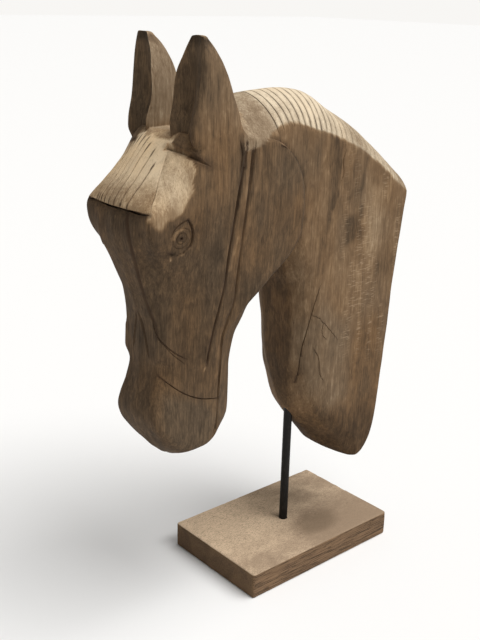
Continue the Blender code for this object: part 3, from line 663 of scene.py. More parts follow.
def rodSocket():
    # the round hole for the rod, from below the neck to its blind end
    angle = np.linspace(0, 2 * math.pi, rodHole["corners"], endpoint=False)
    circle = rodHole["radius"] * np.column_stack([np.cos(angle), np.sin(angle)])
    rings = [np.column_stack([circle, np.full(len(circle), z)]) for z in rodHole["levels"]]
    return gridPiece("socket", np.array(rings))


# Tone of the wood, worked out at every point of the finished carving

def nearest(points, line):
    # distance from every point to the nearest of a line's points; only those in reach are measured
    reach = 6
    best = np.full(len(points), 1e9)
    close = np.all((points > line.min(0) - reach) & (points < line.max(0) + reach), axis=1)
    some = points[close]
    if len(some):
        squared = (some**2).sum(1)[:, None] + (line**2).sum(1)[None] - 2 * some @ line.T
        best[close] = np.sqrt(np.maximum(squared.min(axis=1), 0))
    return best


def awayFrom(place, line):
    # distance in a plane from every place to a line of straight stretches
    line = np.array(line, float)
    best = np.full(len(place), 1e9)
    for start, end in zip(line[:-1], line[1:]):
        way = end - start
        share = np.clip((place - start) @ way / (way @ way), 0, 1)
        best = np.minimum(best, np.linalg.norm(place - start - share[:, None] * way, axis=1))
    return best


def patch(place, outline, soft):
    # one inside the outline, nothing outside it, with an edge this soft
    corners = np.array(outline, float)
    inside = np.zeros(len(place), bool)
    for (ya, za), (yb, zb) in zip(corners, np.roll(corners, -1, axis=0)):
        crossing = (za > place[:, 1]) != (zb > place[:, 1])
        inside ^= crossing & (place[:, 0] < (yb - ya) * (place[:, 1] - za) / (zb - za + 1e-9) + ya)
    away = awayFrom(place, np.concatenate([corners, corners[:1]]))
    return ease(np.where(inside, away, -away), -soft, soft)


# tones run from 0 for the darkest wood, over 0.5 for plain wood, to 1 for bleached wood
toneOf = {
    "face": 0.255, "faceTop": 0.365, "faceFront": 0.23, "muzzle": 0.31, "cheekBack": 0.31, "neck": 0.485,
    "neckFront": 0.30, "ear": 0.46, "earInside": 0.25, "earMiddle": 0.62, "earTip": 0.03, "earRim": 0.72,
    "crown": 0.72, "back": 0.42, "bottom": 0.18,
}
lowFlank = [(58, 238), (102, 260), (108, 180), (90, 112), (60, 160), (50, 200)]
midFlank = [(-22, 262), (8, 280), (44, 254), (52, 170), (22, 150), (-6, 176), (-20, 220)]
mouthCorner = [(-204, 226), (-160, 206), (-142, 190), (-150, 152), (-186, 160), (-206, 190)]
brownPatches = [  # (y, level) outline, softness, tone inside, strength: stains and fresher wood on the flanks
    ([(-41, 480), (-12, 476), (-10, 440), (-16, 400), (-34, 400), (-44, 440)], 7, 0.42, 0.8),
    ([(2, 470), (18, 464), (22, 440), (12, 405), (4, 372), (-4, 330), (-12, 320), (-12, 340), (-2, 380),
      (2, 420)], 4, 0.31, 0.8),
    ([(26, 445), (44, 436), (44, 410), (56, 400), (50, 385), (36, 398), (26, 410)], 4, 0.40, 0.7),
    ([(30, 383), (58, 379), (62, 362), (60, 344), (46, 350), (33, 347)], 4, 0.24, 0.85),
    ([(8, 352), (30, 350), (36, 338), (20, 328), (2, 322)], 4, 0.33, 0.6),
    ([(56, 414), (88, 404), (92, 350), (74, 318), (60, 350)], 11, 0.70, 0.9),
    ([(84, 318), (120, 330), (124, 312), (104, 298), (82, 303)], 4, 0.36, 0.7),
    ([(20, 352), (50, 342), (70, 320), (66, 290), (30, 290), (6, 320)], 8, 0.56, 0.7),
    (lowFlank, 14, 0.37, 0.85),
    (midFlank, 10, 0.49, 0.8),
    ([(-30, 168), (10, 158), (40, 146), (84, 134), (104, 112), (90, 70), (40, 76), (-10, 120)],
     14, 0.20, 0.9),
    ([(-150, 260), (-138, 280), (-128, 310), (-116, 305), (-120, 270), (-138, 240)], 6, 0.36, 0.4),
    ([(-140, 345), (-100, 350), (-88, 320), (-110, 300), (-140, 305)], 10, 0.20, 0.9),
]
# dark and light streaks; some of them are painted shade and painted highlights
streaksAndPaintedLight = [  # (y, level) line, half width, softness, tone, strength
    ([(9, 464), (11, 440), (11, 414), (8, 392)], 1.4, 3.0, 0.14, 0.8),
    ([(14, 455), (17, 430), (15, 405)], 0.6, 2.0, 0.20, 0.6),
    ([(3, 372), (0, 345), (-2, 322)], 0.8, 2.2, 0.20, 0.55),
    ([(-172, 545), (-168, 510), (-166, 478)], 0.5, 1.6, 0.18, 0.7),
    ([(-163, 535), (-159, 500), (-158, 470)], 0.4, 1.6, 0.22, 0.7),
    ([(-153, 525), (-149, 490), (-149, 462)], 0.4, 1.4, 0.25, 0.6),
    ([(-181, 530), (-183, 500)], 0.4, 1.4, 0.16, 0.6),
    ([(57, 440), (52, 409), (31, 399)], 0.8, 3.0, 0.25, 0.6),
    # painted shade along the cheek's back edge
    ([(-41, 430), (-38, 400), (-38, 379), (-52, 356), (-66, 343), (-84, 330)], 1.0, 5.0, 0.20, 0.6),
    ([(-130, 478), (-129, 456), (-130, 432), (-135, 400)], 2.0, 3.0, 0.10, 1.1),
    ([(-117, 474), (-116, 455), (-117, 436), (-122, 414)], 2.0, 3.0, 0.12, 1.1),
    ([(-124, 470), (-123, 450), (-124, 430), (-130, 400), (-136, 366)], 0.9, 2.4, 0.52, 0.9),
    ([(-108, 466), (-108, 448), (-112, 430), (-118, 410)], 0.8, 2.6, 0.50, 0.6),
    # a painted highlight along the upper cheek split, then the dark split below it
    ([(-81, 469), (-65, 460)], 0.3, 1.0, 0.72, 1.0),
    ([(-63, 458), (-52, 445), (-43, 427)], 0.3, 1.1, 0.06, 1.6),
    ([(-96, 462), (-84, 440), (-78, 420)], 0.6, 3.0, 0.46, 0.5),
    # around the eye: dark corners and a dark middle with light flecks, and painted highlights along the
    # eyeball's upper rim and below the lower lid
    ([(-209.5, 377), (-206, 376.5)], 1.2, 1.6, 0.02, 3.0),
    ([(-210, 384), (-207.5, 380)], 0.8, 1.8, 0.16, 2.0),
    ([(-194, 407), (-192, 405)], 0.6, 1.2, 0.02, 2.0),
    ([(-209, 391), (-206.5, 396.5), (-199, 400)], 1.0, 1.6, 0.58, 3.0),
    ([(-200, 372.5), (-194, 374.5), (-189, 379)], 0.5, 1.1, 0.60, 2.4),
    ([(-199, 390), (-198.8, 390)], 5.0, 2.4, 0.15, 2.0),
    ([(-200, 386.5), (-199, 385.8)], 0.6, 1.2, 0.55, 3.0),
    ([(-222, 371), (-214, 352), (-210, 320), (-202, 306)], 1.5, 6.0, 0.17, 0.5),
    ([(-207.5, 371), (-206.5, 368.5)], 0.4, 1.0, 0.85, 3.0),
    ([(-160, 250), (-161, 247)], 0.4, 0.9, 0.75, 0.9),
    ([(-128, 446), (-130, 410), (-134, 380), (-139, 350)], 0.8, 2.6, 0.50, 0.7),
]
borders = {
    "mane": [  # (y, level) of its lower edge
        (-135, 464), (-111, 466), (-100, 471), (-87, 478.5), (-75, 483), (-66, 485), (-45, 483),
        (-19, 475), (15, 464), (39, 454), (80, 431), (118, 404), (140, 390)],
    "brow": [  # (y, level) of its lower edge
        (-245, 414), (-237, 411), (-231, 404), (-225, 398), (-219, 402), (-212, 408), (-199, 418),
        (-190, 431), (-187, 445), (-184, 470)],
    "forelock": [(416, 49.5), (427, 44), (447, 34), (458, 30), (473, 27), (482, 26)],  # (level, half width)
}
lineDirtAndShade = [  # line of the head, its lowest and highest level, how wide the dirt and painted shade reach, strength
    ("noseEdge", 286, 412, 3.2, 1.0), ("cheekLine", 251, 474, 2.1, 0.95), ("jawLine", 300, 468, 2.1, 0.6),
    ("jawLine", 212, 302, 2.1, 0.32), ("jawLine", 176, 209, 2.1, 0.3),
]


def setTone(mesh, name, values):
    # a number for each point, from 0 to 1, that the shader reads by this name
    layer = mesh.attributes.new(name, "FLOAT", "POINT")
    layer.data.foreach_set("value", np.clip(values, 0, 1).astype(np.float32))


def dirtAndShadeFrom(points, lines):
    # full strength near a line, eased to nothing at its far distance; the strongest line counts
    most = np.zeros(len(points))
    for line, near, far, strength in lines:
        most = np.maximum(most, strength * (1 - ease(nearest(points, line), near, far)))
    return most


def paintCarving(piece, dirtAndShade, maneDirtAndShade):
    # the tone goes part of the way to each place's own value, place after place, some of it painted shade and
    # painted highlights; then the dirt and painted shade in the lines, the warmth of the brown and where the
    # saw left flecks
    mesh = piece.data
    p = inMillimetres(pointsOf(mesh))
    n = pointsOf(mesh, "normal")
    x, y, z = p.T
    flat = np.column_stack([y, z])
    broad, small = softNoise(p, (26, 26, 40), 21), softNoise(p, (5, 5, 9), 22)
    ragged = np.column_stack([y + 2.0 * small + 3.5 * softNoise(p, (9, 9, 12), 25),
                              z + 2.0 * softNoise(p, (4, 4, 7), 24) + 5.0 * softNoise(p, (8, 8, 11), 26)])
    jawBack = smoothLine([(r[0], r[2]) for r in headLines["jawBack"]])(z)[:, 0]
    onHead = ease(jawBack + 8 - y, 0, 10) * (1 - ease(z, 462, 500))
    face = toneOf["face"] + (toneOf["faceTop"] - toneOf["face"]) * ease(z, 385, 440)

    # neck, head, muzzle and ears
    tone = toneOf["neck"] + 0 * x
    tone += onHead * (toneOf["cheekBack"] + (face - toneOf["cheekBack"]) * ease(-y, 118, 150) - tone)
    tone += onHead * (1 - ease(z, 225, 262)) * (toneOf["muzzle"] - tone)
    onEar = ease(z, 462, 500) * (y < -112)
    tone += onEar * (toneOf["ear"] - tone)

    # patches and streaks on the flanks, among them painted shade along the cheek's back edge and painted
    # highlights on the cheek split and the eye
    for outline, soft, value, strength in brownPatches:
        tone += patch(ragged, outline, soft) * strength * (value - tone) * ease(np.abs(n[:, 0]), 0.5, 0.85)
    broken = 0.25 + 0.75 * ease(softNoise(p, (6, 6, 13), 28), -0.4, 0.25)
    for line, half, soft, value, strength in streaksAndPaintedLight:
        wobble = min(0.3, 0.1 * soft)
        away = awayFrom((1 - wobble) * flat + wobble * ragged, line)
        held = np.minimum(1, strength * broken) * ease(np.abs(n[:, 0]), 0.2, 0.4)
        tone += (1 - ease(away, half, half + soft)) * held * (value - tone)

    # painted shade on the front of the face and neck and inside the ears, painted light on the ears' sides
    # that face each other, and the tips of the ears
    # painted shade: the face's front, turned away from the sun, is darkened
    frontFacing = ease(-n[:, 1], 0.35, 0.85)
    tone += frontFacing * (y < -150) * (z < 470) * (toneOf["faceFront"] - 0.05 * ease(z, 350, 400) - tone)
    # painted shade: the throat's forward-facing front is darkened, more so low down
    throat = ease(-n[:, 1], 0.84, 0.97) * (y > -100) * (z < 350)
    tone += throat * (toneOf["neckFront"] - 0.10 * (1 - ease(z, 190, 260)) - tone)
    # painted shade in the hollow of each ear
    inEar = ease(z, 466, 474) * (y < -160) * ease(-n[:, 1], 0.2, 0.9)
    tone += inEar * (toneOf["earInside"] - tone)
    # painted light: the ears' sides that face each other are paler, most near their foot
    between = onEar * (np.abs(x) < 32) * (1 - frontFacing) * ease(-n[:, 0] * np.sign(x), 0.3, 0.7)
    tone += between * (toneOf["earMiddle"] + 0.14 * (1 - ease(z, 482, 512)) - tone)
    tipMarks = ease(z + 4 * softNoise(p, (2.5, 2.5, 6), 33), 557, 565)
    tone += tipMarks * 0.9 * (toneOf["earTip"] - tone)

    # bleached mane, brow, forelock and crown, with painted shadow below the ears' roots
    mane = smoothLine(borders["mane"])(y)[:, 0]
    onMane = ease(z + 0.8 * small - mane, -0.8, 1.4) * (y > -128) * (1 - onEar * (y < -112))
    bleached = 0.94 + 0.07 * ease(y, -70, -30) - 0.19 * ease(y, -10, 45) - 0.12 * ease(y, 90, 130)
    bleached -= 0.25 * (1 - ease(y, -90, -77)) + 0.08 * ease(np.abs(x), 20, 44) * (1 - ease(y, 0, 90))
    tone += onMane * (bleached + 0.05 * broad - tone)
    brow = smoothLine(borders["brow"])(y + 2.5 * softNoise(p, (7, 7, 9), 30))[:, 0]
    raggedLevel = z + 3.5 * softNoise(p, (6, 6, 8), 27) + 0.8 * small
    # the pale brow stops below the ears' roots, which are left dark as painted shadow
    topEdge = np.where(np.abs(x) < 27, 477.0, 468.5 - 0.22 * (np.abs(x) - 27))
    onBrow = ease(raggedLevel - brow, -2.0, 3.5) * (1 - ease(z + small, topEdge - 1, topEdge + 1.5))
    onBrow *= (y < -182) * ((z > 416.5) | (np.abs(x) > 48.5))
    forelock = smoothLine(borders["forelock"])(z)[:, 0]
    inForelock = ease(forelock - np.abs(x), -0.6, 0.6)
    browTone = 0.88 - 0.22 * (1 - ease(z, 405, 438)) - 0.12 * ease(y, -198, -190) + 0.06 * broad
    hairTone = 0.74 + 0.36 * ease(z, 424, 455) + 0.05 * broad
    hairTone -= 0.10 * ease(x, 26, 40) * (1 - ease(z, 425, 440))
    tone += onBrow * (browTone + inForelock * (hairTone - browTone) - tone)
    crown = (z > 470) * (y < -112) * ease(n[:, 2], 0.35, 0.7) * (1 - onBrow)
    # painted shadow: the crown is darker beside the ears' roots
    tone += crown * ((toneOf["crown"] - 0.36 * ease(np.abs(x), 24, 30) * (y < -176)) - tone)

    # bottom end, sawn back, painted shade on the undersides and a painted highlight on the ears' inner rims
    bottomEnd = (1 - ease(z + 8 * broad, 105, 170)) * (y > -60)
    tone += bottomEnd * 0.8 * (toneOf["bottom"] - tone)
    sawn = ease(n[:, 1], 0.8, 0.95) * (y > 40)
    tone += sawn * (toneOf["back"] - tone)
    # painted shade: faces turned downwards are darker
    tone -= 0.12 * ease(-n[:, 2], 0.25, 0.8)
    # painted highlight: a pale line along each ear's inner rim
    rim = smoothLine(earLines["innerRim"])(z)
    fromRim = np.hypot(np.abs(x) - rim[:, 0], y - rim[:, 1])
    tone += (1 - ease(fromRim, 0.8, 2.4)) * (z > 484) * (z < 562) * (toneOf["earRim"] - tone)
    setTone(mesh, "tone", tone + 0.025 * broad + 0.015 * small)

    # dirt and painted shade along the cuts, the carved lines and the mane's grooves
    levels = np.arange(165.0, 476.0, 1.0)
    dirtAndShade = list(dirtAndShade)
    for name, lowest, highest, far, strength in lineDirtAndShade:
        part = levels[(levels > lowest) & (levels < highest)]
        row = smoothLine(headLines[name])(part)
        for side in ((1,) if name == "noseEdge" else (1, -1)):
            inside = np.column_stack([side * (row[:, 0] - 1.2), row[:, 1], part])
            dirtAndShade.append((densely(inside), 0.9, far, strength))
    inGroove = dirtAndShadeFrom(p, maneDirtAndShade)
    grimeAndShade = np.maximum(dirtAndShadeFrom(p, dirtAndShade), inGroove * onMane * (0.6 + 0.4 * ease(small, -0.5, 0.1)))
    setTone(mesh, "line", grimeAndShade * (0.85 + 0.25 * small))

    # warmth and flecks
    warm = 0.55 + 0.25 * broad + 0.3 * patch(flat, lowFlank, 16) + 0.45 * throat
    warm += 0.7 * bottomEnd - 0.3 * onMane * (1 - ease(y, -90, -77)) - 0.5 * patch(flat, mouthCorner, 8)
    warm -= 0.4 * patch(flat, midFlank, 12) + 0.5 * onMane + 0.35 * between + 0.2 * onEar
    setTone(mesh, "warm", warm)
    fleck = ease(np.abs(n[:, 0]), 0.9, 0.97) * ease(y, 12, 45) * (1 - onMane) * ease(z, 190, 240)
    setTone(mesh, "fleck", fleck * ease(softNoise(p, (9, 9, 60), 29), -0.3, 0.3))
    print("painted points", len(p))


# The carving put together: head, neck and ears joined, then the lines and the rod's hole cut

print("carving the head")
carving = makeHead()
print("carving the neck")
neckPiece, maneDirtAndShade = makeNeck()
combine(carving, neckPiece, "UNION")
for side in (1, -1):
    combine(carving, makeEar(side), "UNION")
carvedDirtAndShade = carveLines(carving)
combine(carving, rodSocket(), "DIFFERENCE")
carving.name = "carvedWoodHead"
carving.data.shade_smooth()
carving.data.set_sharp_from_angle(angle=math.radians(38))
paintCarving(carving, carvedDirtAndShade, maneDirtAndShade)


# Shader writing

class Wire:
    # one socket of a material; sums written with it become nodes
    def __init__(self, finish, socket):
        self.finish, self.socket = finish, socket

    def sum(self, operation, first, second):
        # first and second put together by the operation
        return self.finish.node("ShaderNodeMath", {"operation": operation}, {0: first, 1: second})

    def __add__(self, other):
        return self.sum("ADD", self, other)

    def __radd__(self, other):
        return self.sum("ADD", other, self)

    def __sub__(self, other):
        return self.sum("SUBTRACT", self, other)

    def __rsub__(self, other):
        return self.sum("SUBTRACT", other, self)

    def __mul__(self, other):
        return self.sum("MULTIPLY", self, other)

    def __rmul__(self, other):
        return self.sum("MULTIPLY", other, self)

    def between(self, low, high):
        # nothing at low, one at high, eased
        return self.finish.node("ShaderNodeMapRange", {"interpolation_type": "SMOOTHSTEP"},
                                {"Value": self, "From Min": low, "From Max": high})

    def steadily(self, low, high):
        # nothing at low, one at high, in a straight line
        return self.finish.node("ShaderNodeMapRange", {}, {"Value": self, "From Min": low, "From Max": high})


class Finish:
    # a material and the ways to fill it
    def __init__(self, name, roughness=0.8, metallic=0.0, shine=0.5):
        self.material = bpy.data.materials.new(name)
        self.material.use_nodes = True
        self.tree = self.material.node_tree
        self.shader = self.tree.nodes["Principled BSDF"]
        self.shader.inputs["Roughness"].default_value = roughness
        self.shader.inputs["Metallic"].default_value = metallic
        self.shader.inputs["Specular IOR Level"].default_value = shine
        self.place = self.node("ShaderNodeTexCoord", {}, {}, "Object")

    def node(self, kind, settings, sockets, out=0):
        # a new node with its settings, each socket fed by a wire or given its value
        made = self.tree.nodes.new(kind)
        for key, value in settings.items():
            setattr(made, key, value)
        for key, value in sockets.items():
            if isinstance(value, Wire):
                self.tree.links.new(value.socket, made.inputs[key])
            else:
                made.inputs[key].default_value = value
        return Wire(self, made.outputs[out])

    def noise(self, stretch, detail=2.0, roughness=0.5, shift=(0, 0, 0), distortion=0.0, turn=(0, 0, 0)):
        # noise with this many turns a metre each way, at the object's own places
        where = self.node("ShaderNodeMapping", {}, {
            "Vector": self.place, "Scale": stretch, "Location": shift, "Rotation": turn})
        return self.node("ShaderNodeTexNoise", {}, {
            "Vector": where, "Scale": 1.0, "Detail": detail, "Roughness": roughness,
            "Distortion": distortion})

    def part(self, wire, letter):
        # one of the three numbers of a place or direction
        return self.node("ShaderNodeSeparateXYZ", {}, {0: wire}, letter)

    def tone(self, name):
        # the number painted on the mesh under this name
        return self.node("ShaderNodeAttribute", {"attribute_name": name}, {}, "Fac")

    def blend(self, factor, first, second, way="MIX"):
        # first where the factor is nothing, second where it is one
        settings = {"data_type": "RGBA", "blend_type": way}
        return self.node("ShaderNodeMix", settings, {0: factor, 6: first, 7: second}, 2)

    def feed(self, socket, wire):
        # the wire goes into the material's own socket
        self.tree.links.new(wire.socket, self.shader.inputs[socket])

    def bump(self, height, distance, strength):
        # light falls as if the surface stood out by height times distance
        sockets = {"Height": height, "Distance": distance, "Strength": strength}
        self.feed("Normal", self.node("ShaderNodeBump", {}, sockets, "Normal"))


def colour(r, g, b):
    # red, green and blue with full cover
    return (r, g, b, 1.0)


carvedWood = {
    "darkest": colour(0.040, 0.024, 0.012), "dark": colour(0.096, 0.061, 0.035),
    "plain": colour(0.190, 0.119, 0.067), "light": colour(0.320, 0.222, 0.138),
    "bleached": colour(0.760, 0.600, 0.428), "line": colour(0.044, 0.023, 0.011),
    "warm": colour(1.0, 0.90, 0.72), "cool": colour(0.94, 0.99, 1.0), "fleck": colour(0.42, 0.30, 0.185),
    "roughness": 0.82, "shine": 0.25, "bump": 0.0007,
}


def carvedWoodFinish():
    # painted tone plus long grain picks a shade between five browns; warmth tints it, then
    # come flecks and the dirt and painted shade in the lines
    c = carvedWood
    wood = Finish("weatheredCarvedWood", c["roughness"], 0.0, c["shine"])
    strand = wood.noise((420, 420, 24), 4.0, 0.66, distortion=0.5)
    fibre = wood.noise((1250, 1250, 75), 3.0, 0.65, distortion=0.3)
    broad = wood.noise((60, 60, 11), 3.0, 0.6, (3, 1, 2), 0.6)
    mottle = wood.noise((120, 120, 70), 4.0, 0.62, (7, 5, 1), 0.5)
    speck = wood.noise((900, 900, 600), 2.0, 0.6)
    tone = wood.tone("tone")
    grain = (strand - 0.5) * 0.50 + (fibre - 0.5) * 0.42 + (broad - 0.5) * 0.26 + (mottle - 0.5) * 0.46
    pore = wood.noise((1050, 1050, 48), 2.0, 0.5, (4, 4, 4), 0.2).between(0.60, 0.72)
    t = tone + grain * (1.36 - tone * 0.80) - pore * 0.12
    shade = wood.blend(t.steadily(0.0, 0.25), c["darkest"], c["dark"])
    shade = wood.blend(t.steadily(0.25, 0.5), shade, c["plain"])
    shade = wood.blend(t.steadily(0.5, 0.7), shade, c["light"])
    shade = wood.blend(t.steadily(0.7, 1.0), shade, c["bleached"])
    warmth = wood.tone("warm") + (broad - 0.5) * 0.5
    hue = wood.blend(warmth.steadily(0.1, 0.9), c["cool"], c["warm"])
    shade = wood.blend(1.0, shade, hue, "MULTIPLY")
    dash = wood.noise((60, 90, 950), 2.0, 0.5, (1, 2, 3), 0.2)
    shade = wood.blend(dash.between(0.55, 0.66) * wood.tone("fleck") * 0.55, shade, c["fleck"])
    shade = wood.blend(wood.tone("line") * (0.8 + 0.3 * mottle), shade, c["line"])
    wood.feed("Base Color", shade)
    wood.feed("Roughness", 0.74 + 0.16 * strand)
    wood.bump(strand * 0.5 + fibre * 0.25 + mottle * 0.15 + speck * 0.1, c["bump"], 0.6)
    return wood.material


carving.data.materials.clear()
carving.data.materials.append(carvedWoodFinish())
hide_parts("carved_horse_head")
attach(carving, "root")
print("carving finished")


# The plinth

plinthShape = {
    "length": 220.0, "width": 141.0, "thickness": 30.0, "edge": 2.1, "corner": 3.4, "hole": 5.3,
    "holeDepth": 20.0, "shortSteps": 42, "longSteps": 60,
}
plinthWood = {
    "pale": colour(0.680, 0.510, 0.345), "mid": colour(0.300, 0.212, 0.138),
    "dark": colour(0.106, 0.063, 0.032), "ripple": colour(0.235, 0.168, 0.108),
    "side": colour(0.250, 0.150, 0.080), "end": colour(0.172, 0.102, 0.050),
    "groove": colour(0.045, 0.025, 0.012), "smudgeAndShadow": colour(0.62, 0.60, 0.57),
    "worn": colour(0.098, 0.058, 0.029), "bump": 0.0006,
}


def roundedOutline(halfX, halfY, corner):
    # a rectangle with its corners rounded: four arcs with straight runs between them
    parts = []
    for turn, (sx, sy) in zip((0, 90, 180, 270), ((1, 1), (-1, 1), (-1, -1), (1, -1))):
        angle = np.radians(turn + np.linspace(0, 90, 8))
        middle = np.array([sx * (halfX - corner), sy * (halfY - corner)])
        parts.append(middle + corner * np.column_stack([np.cos(angle), np.sin(angle)]))
    points = []
    for k, arc in enumerate(parts):
        start, end = arc[-1], parts[(k + 1) % 4][0]
        count = plinthShape["longSteps"] if k % 2 else plinthShape["shortSteps"]
        points += [arc, start + (end - start) * (np.arange(1, count) / count)[:, None]]
    return np.concatenate(points)


def makePlinth():
    # rings from the bottom of the hole up over the top, round the edge and down to the
    # underside, with shallow gouges and chips pressed in, deepest near the edges
    s = plinthShape
    halfX, halfY, tall, edge = 0.5 * s["width"], 0.5 * s["length"], s["thickness"], s["edge"]
    outline = roundedOutline(halfX, halfY, s["corner"])
    angle = np.arctan2(outline[:, 1], outline[:, 0])
    hole = s["hole"] * np.column_stack([np.cos(angle), np.sin(angle)])
    rings = []

    def ring(share, drop, z):
        # share 0 is the rod's hole, share 1 the outline drawn in by drop
        rim = roundedOutline(halfX - drop, halfY - drop, max(s["corner"] - drop, 0.4))
        rings.append(np.column_stack([hole + (rim - hole) * share, np.full(len(rim), z)]))

    for z in np.linspace(-s["holeDepth"], -1.0, 6):
        ring(0, edge, z)
    ring(0, edge, -0.2)
    ring(0.01, edge, 0.0)
    for share in np.linspace(0.04, 1, 26):
        ring(share, edge, 0.0)
    for turn in np.linspace(15, 90, 6):
        ring(1, edge * (1 - math.sin(math.radians(turn))), -edge * (1 - math.cos(math.radians(turn))))
    for z in np.linspace(-edge, edge - tall, 12)[1:]:
        ring(1, 0, z)
    for turn in np.linspace(15, 90, 6):
        ring(1, edge * (1 - math.cos(math.radians(turn))), edge - tall - edge * math.sin(math.radians(turn)))
    for share in (0.9, 0.6, 0.3, 0.1):
        ring(share, edge, -tall)
    grid = np.array(rings)
    x, y, z = grid[:, :, 0], grid[:, :, 1], grid[:, :, 2]
    gouged = 0.16 * (0.5 - 0.5 * softNoise(grid, (9, 14, 9), 31))
    chipped = 0.5 * ease(softNoise(grid, (7, 9, 7), 32), 0.45, 0.95)
    onEdge = ease(np.abs(x), halfX - 5, halfX - 0.5) + ease(np.abs(y), halfY - 5, halfY - 0.5)
    keep = (z > 0.5 - tall) & (np.hypot(x, y) > 6)
    rough = (gouged + chipped) * keep * (0.5 + 0.5 * np.clip(onEdge, 0, 1))
    return gridPiece("weatheredPlinth", grid - gridNormals(grid) * rough[:, :, None])


def plinthFinish():
    # the top is pale towards the front and the -X side and painted darker towards the back and the +X side,
    # with a grey smudge and painted shadow beside the rod, the sides are long grain with grooves, and the
    # ends are worn end grain
    wood, c = Finish("plinthWood", 0.8, 0.0, 0.3), plinthWood
    strand = wood.noise((620, 24, 900), 4.0, 0.65, distortion=0.6, turn=(0.06, 0, 0))
    fibre = wood.noise((1500, 55, 2200), 3.0, 0.6, distortion=0.3)
    cloud = wood.noise((40, 30, 40), 4.0, 0.62, (2, 4, 1), 0.5)
    wavy = wood.noise((270, 95, 270), 5.0, 0.72, (5, 2, 7), 2.4)
    speck = wood.noise((700, 500, 700), 3.0, 0.65)
    facing = wood.node("ShaderNodeNewGeometry", {}, {}, "Normal")
    upwards, endwards = wood.part(facing, "Z"), wood.part(facing, "Y")
    x, y = wood.part(wood.place, "X"), wood.part(wood.place, "Y")
    top = upwards.between(0.4, 0.8)
    end = (endwards * endwards).between(0.4, 0.8)
    # painted shade: the top is darker towards the back and the +X side, where the head's shadow falls
    towardsBack = (y + (cloud - 0.5) * 0.05).between(-0.045, 0.035)
    towardsSide = (x + (cloud - 0.5) * 0.04).between(-0.02, 0.055)
    paintedLightAtFront = 0.15 - towardsBack * 0.15 - towardsSide * 0.17
    paleness = (speck * 0.2 + cloud * 0.4 + wavy * 0.4 + paintedLightAtFront).between(0.36, 0.66)
    topTone = wood.blend(paleness, c["mid"], c["pale"])
    topTone = wood.blend(wavy.between(0.54, 0.62) * 0.5, topTone, c["mid"])
    ripple = wood.noise((430, 130, 430), 3.0, 0.7, (1, 8, 3), 2.8)
    topTone = wood.blend(ripple.between(0.53, 0.58) * 0.6, topTone, c["ripple"])
    besideX, besideY = x - 0.032, y - 0.022  # from the middle of the smudge and painted shadow, in metres
    spread = (besideX * besideX * 2.2 + besideY * besideY * 0.9) * 1000.0 + (cloud - 0.5) * 1.6
    # a grey smudge with painted shadow, multiplied over the top beside the rod
    topTone = wood.blend((1.0 - spread.between(0.1, 1.7)) * 0.8, topTone, c["smudgeAndShadow"], "MULTIPLY")
    edgeWear = ((x * x) * 201.0).between(0.955, 0.995) + ((y * y) * 82.6).between(0.965, 0.998)
    topTone = wood.blend(edgeWear * wavy.between(0.45, 0.6) * 0.55, topTone, c["mid"])
    sideTone = wood.blend((strand * 0.6 + fibre * 0.4).between(0.40, 0.60), c["dark"], c["side"])
    sideTone = wood.blend((0.48 - fibre * 0.6 - strand * 0.4).between(0.0, 0.05) * 0.9, sideTone, c["groove"])
    endTone = wood.blend((speck * 0.5 + cloud * 0.5).between(0.4, 0.62), c["worn"], c["end"])
    tone = wood.blend(end, sideTone, endTone)
    tone = wood.blend(top, tone, topTone)
    wood.feed("Base Color", tone)
    wood.feed("Roughness", 0.74 + 0.15 * strand)
    wood.bump(strand * 0.4 + fibre * 0.25 + wavy * 0.25 + speck * 0.1, c["bump"], 0.6)
    return wood.material


plinth = makePlinth()
plinth.data.shade_smooth()
plinth.data.set_sharp_from_angle(angle=math.radians(40))
plinth.data.materials.append(plinthFinish())
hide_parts("plinth")
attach(plinth, "root")
print("plinth finished")


# The rod keeps its solid and gets forged black iron

rodIron = {"black": colour(0.008, 0.007, 0.006), "worn": colour(0.022, 0.019, 0.016), "bump": 0.0003}


def rodFinish():
    # black iron, a little paler and rougher where the forging scale is worn
    iron, c = Finish("blackenedIron", 0.55, 0.55), rodIron
    scale = iron.noise((300, 300, 120), 3.0, 0.6)
    fine = iron.noise((1500, 1500, 700), 2.0, 0.6)
    iron.feed("Base Color", iron.blend(scale.between(0.45, 0.7), c["black"], c["worn"]))
    iron.feed("Roughness", 0.42 + 0.3 * scale)
    iron.bump(scale * 0.6 + fine * 0.4, c["bump"], 0.5)
    return iron.material


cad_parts["stand_rod"].material_slots[0].material = rodFinish()
print("rod finished")


# Floor, light and camera

studio = {
    "floor": colour(0.83, 0.825, 0.815), "floorReach": 20, "sunStrength": 3.4, "sunFrom": (0.34, 0.26, 0.92),
    "sunWidth": 50.0, "sky": colour(1.0, 0.985, 0.96), "skyStrength": 0.24, "skySeen": 0.94,
}
shot = {  # measured on the plinth's corners in the photograph
    "place": (0.72124, -0.71280, 0.63502), "right": (0.65314, 0.75679, 0.02610),
    "back": (0.70951, -0.62365, 0.32812), "lens": 53.08, "sensor": 36.0, "clip": (0.05, 100.0),
}


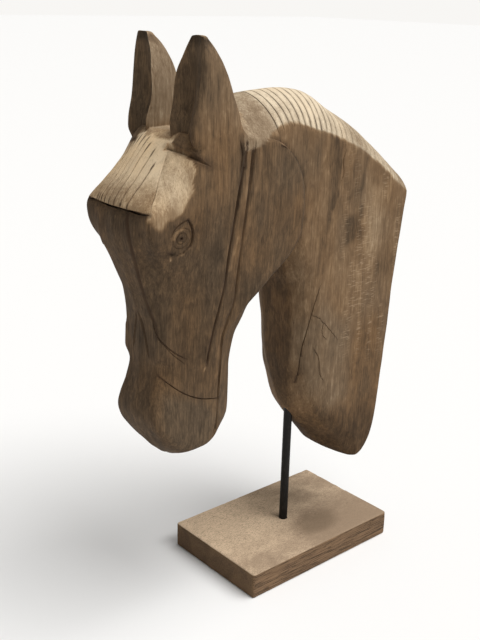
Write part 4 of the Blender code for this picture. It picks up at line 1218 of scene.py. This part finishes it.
def makeFloor():
    # one wide square of pale paper
    mesh, reach = bpy.data.meshes.new("floor"), studio["floorReach"]
    corners = [(-reach, -reach, 0), (reach, -reach, 0), (reach, reach, 0), (-reach, reach, 0)]
    mesh.from_pydata(corners, [], [(0, 1, 2, 3)])
    floor = bpy.data.objects.new("floor", mesh)
    bpy.context.scene.collection.objects.link(floor)
    paper = Finish("palePaper", 0.9)
    paper.shader.inputs["Base Color"].default_value = studio["floor"]
    mesh.materials.append(paper.material)


def makeLight():
    # a wide soft sun, and a sky that is brighter to the camera than to the carving
    sun = bpy.data.lights.new("softOverhead", "SUN")
    sun.energy, sun.angle = studio["sunStrength"], math.radians(studio["sunWidth"])
    lamp = bpy.data.objects.new("softOverhead", sun)
    lamp.rotation_euler = Vector(studio["sunFrom"]).to_track_quat("Z", "Y").to_euler()
    bpy.context.scene.collection.objects.link(lamp)
    world = bpy.data.worlds.new("studio")
    bpy.context.scene.world = world
    world.use_nodes = True
    nodes, links = world.node_tree.nodes, world.node_tree.links
    sky = nodes["Background"]
    sky.inputs["Color"].default_value = studio["sky"]
    seen = nodes.new("ShaderNodeLightPath")
    pick = nodes.new("ShaderNodeMix")
    pick.inputs[2].default_value, pick.inputs[3].default_value = studio["skyStrength"], studio["skySeen"]
    links.new(seen.outputs["Is Camera Ray"], pick.inputs[0])
    links.new(pick.outputs[0], sky.inputs["Strength"])


def makeCamera():
    # the camera stands at the measured place, turned by its right and back directions
    lens = bpy.data.cameras.new("photoView")
    lens.lens, lens.sensor_width, lens.sensor_fit = shot["lens"], shot["sensor"], "AUTO"
    lens.clip_start, lens.clip_end = shot["clip"]
    camera = bpy.data.objects.new("photoView", lens)
    right, back = Vector(shot["right"]).normalized(), Vector(shot["back"]).normalized()
    up = back.cross(right)
    turn = Matrix((right, up, back)).transposed().to_4x4()
    camera.matrix_world = Matrix.Translation(shot["place"]) @ turn
    bpy.context.scene.collection.objects.link(camera)
    bpy.context.scene.camera = camera


makeFloor()
makeLight()
makeCamera()
bpy.context.scene.view_settings.view_transform = "Standard"
print("studio finished")
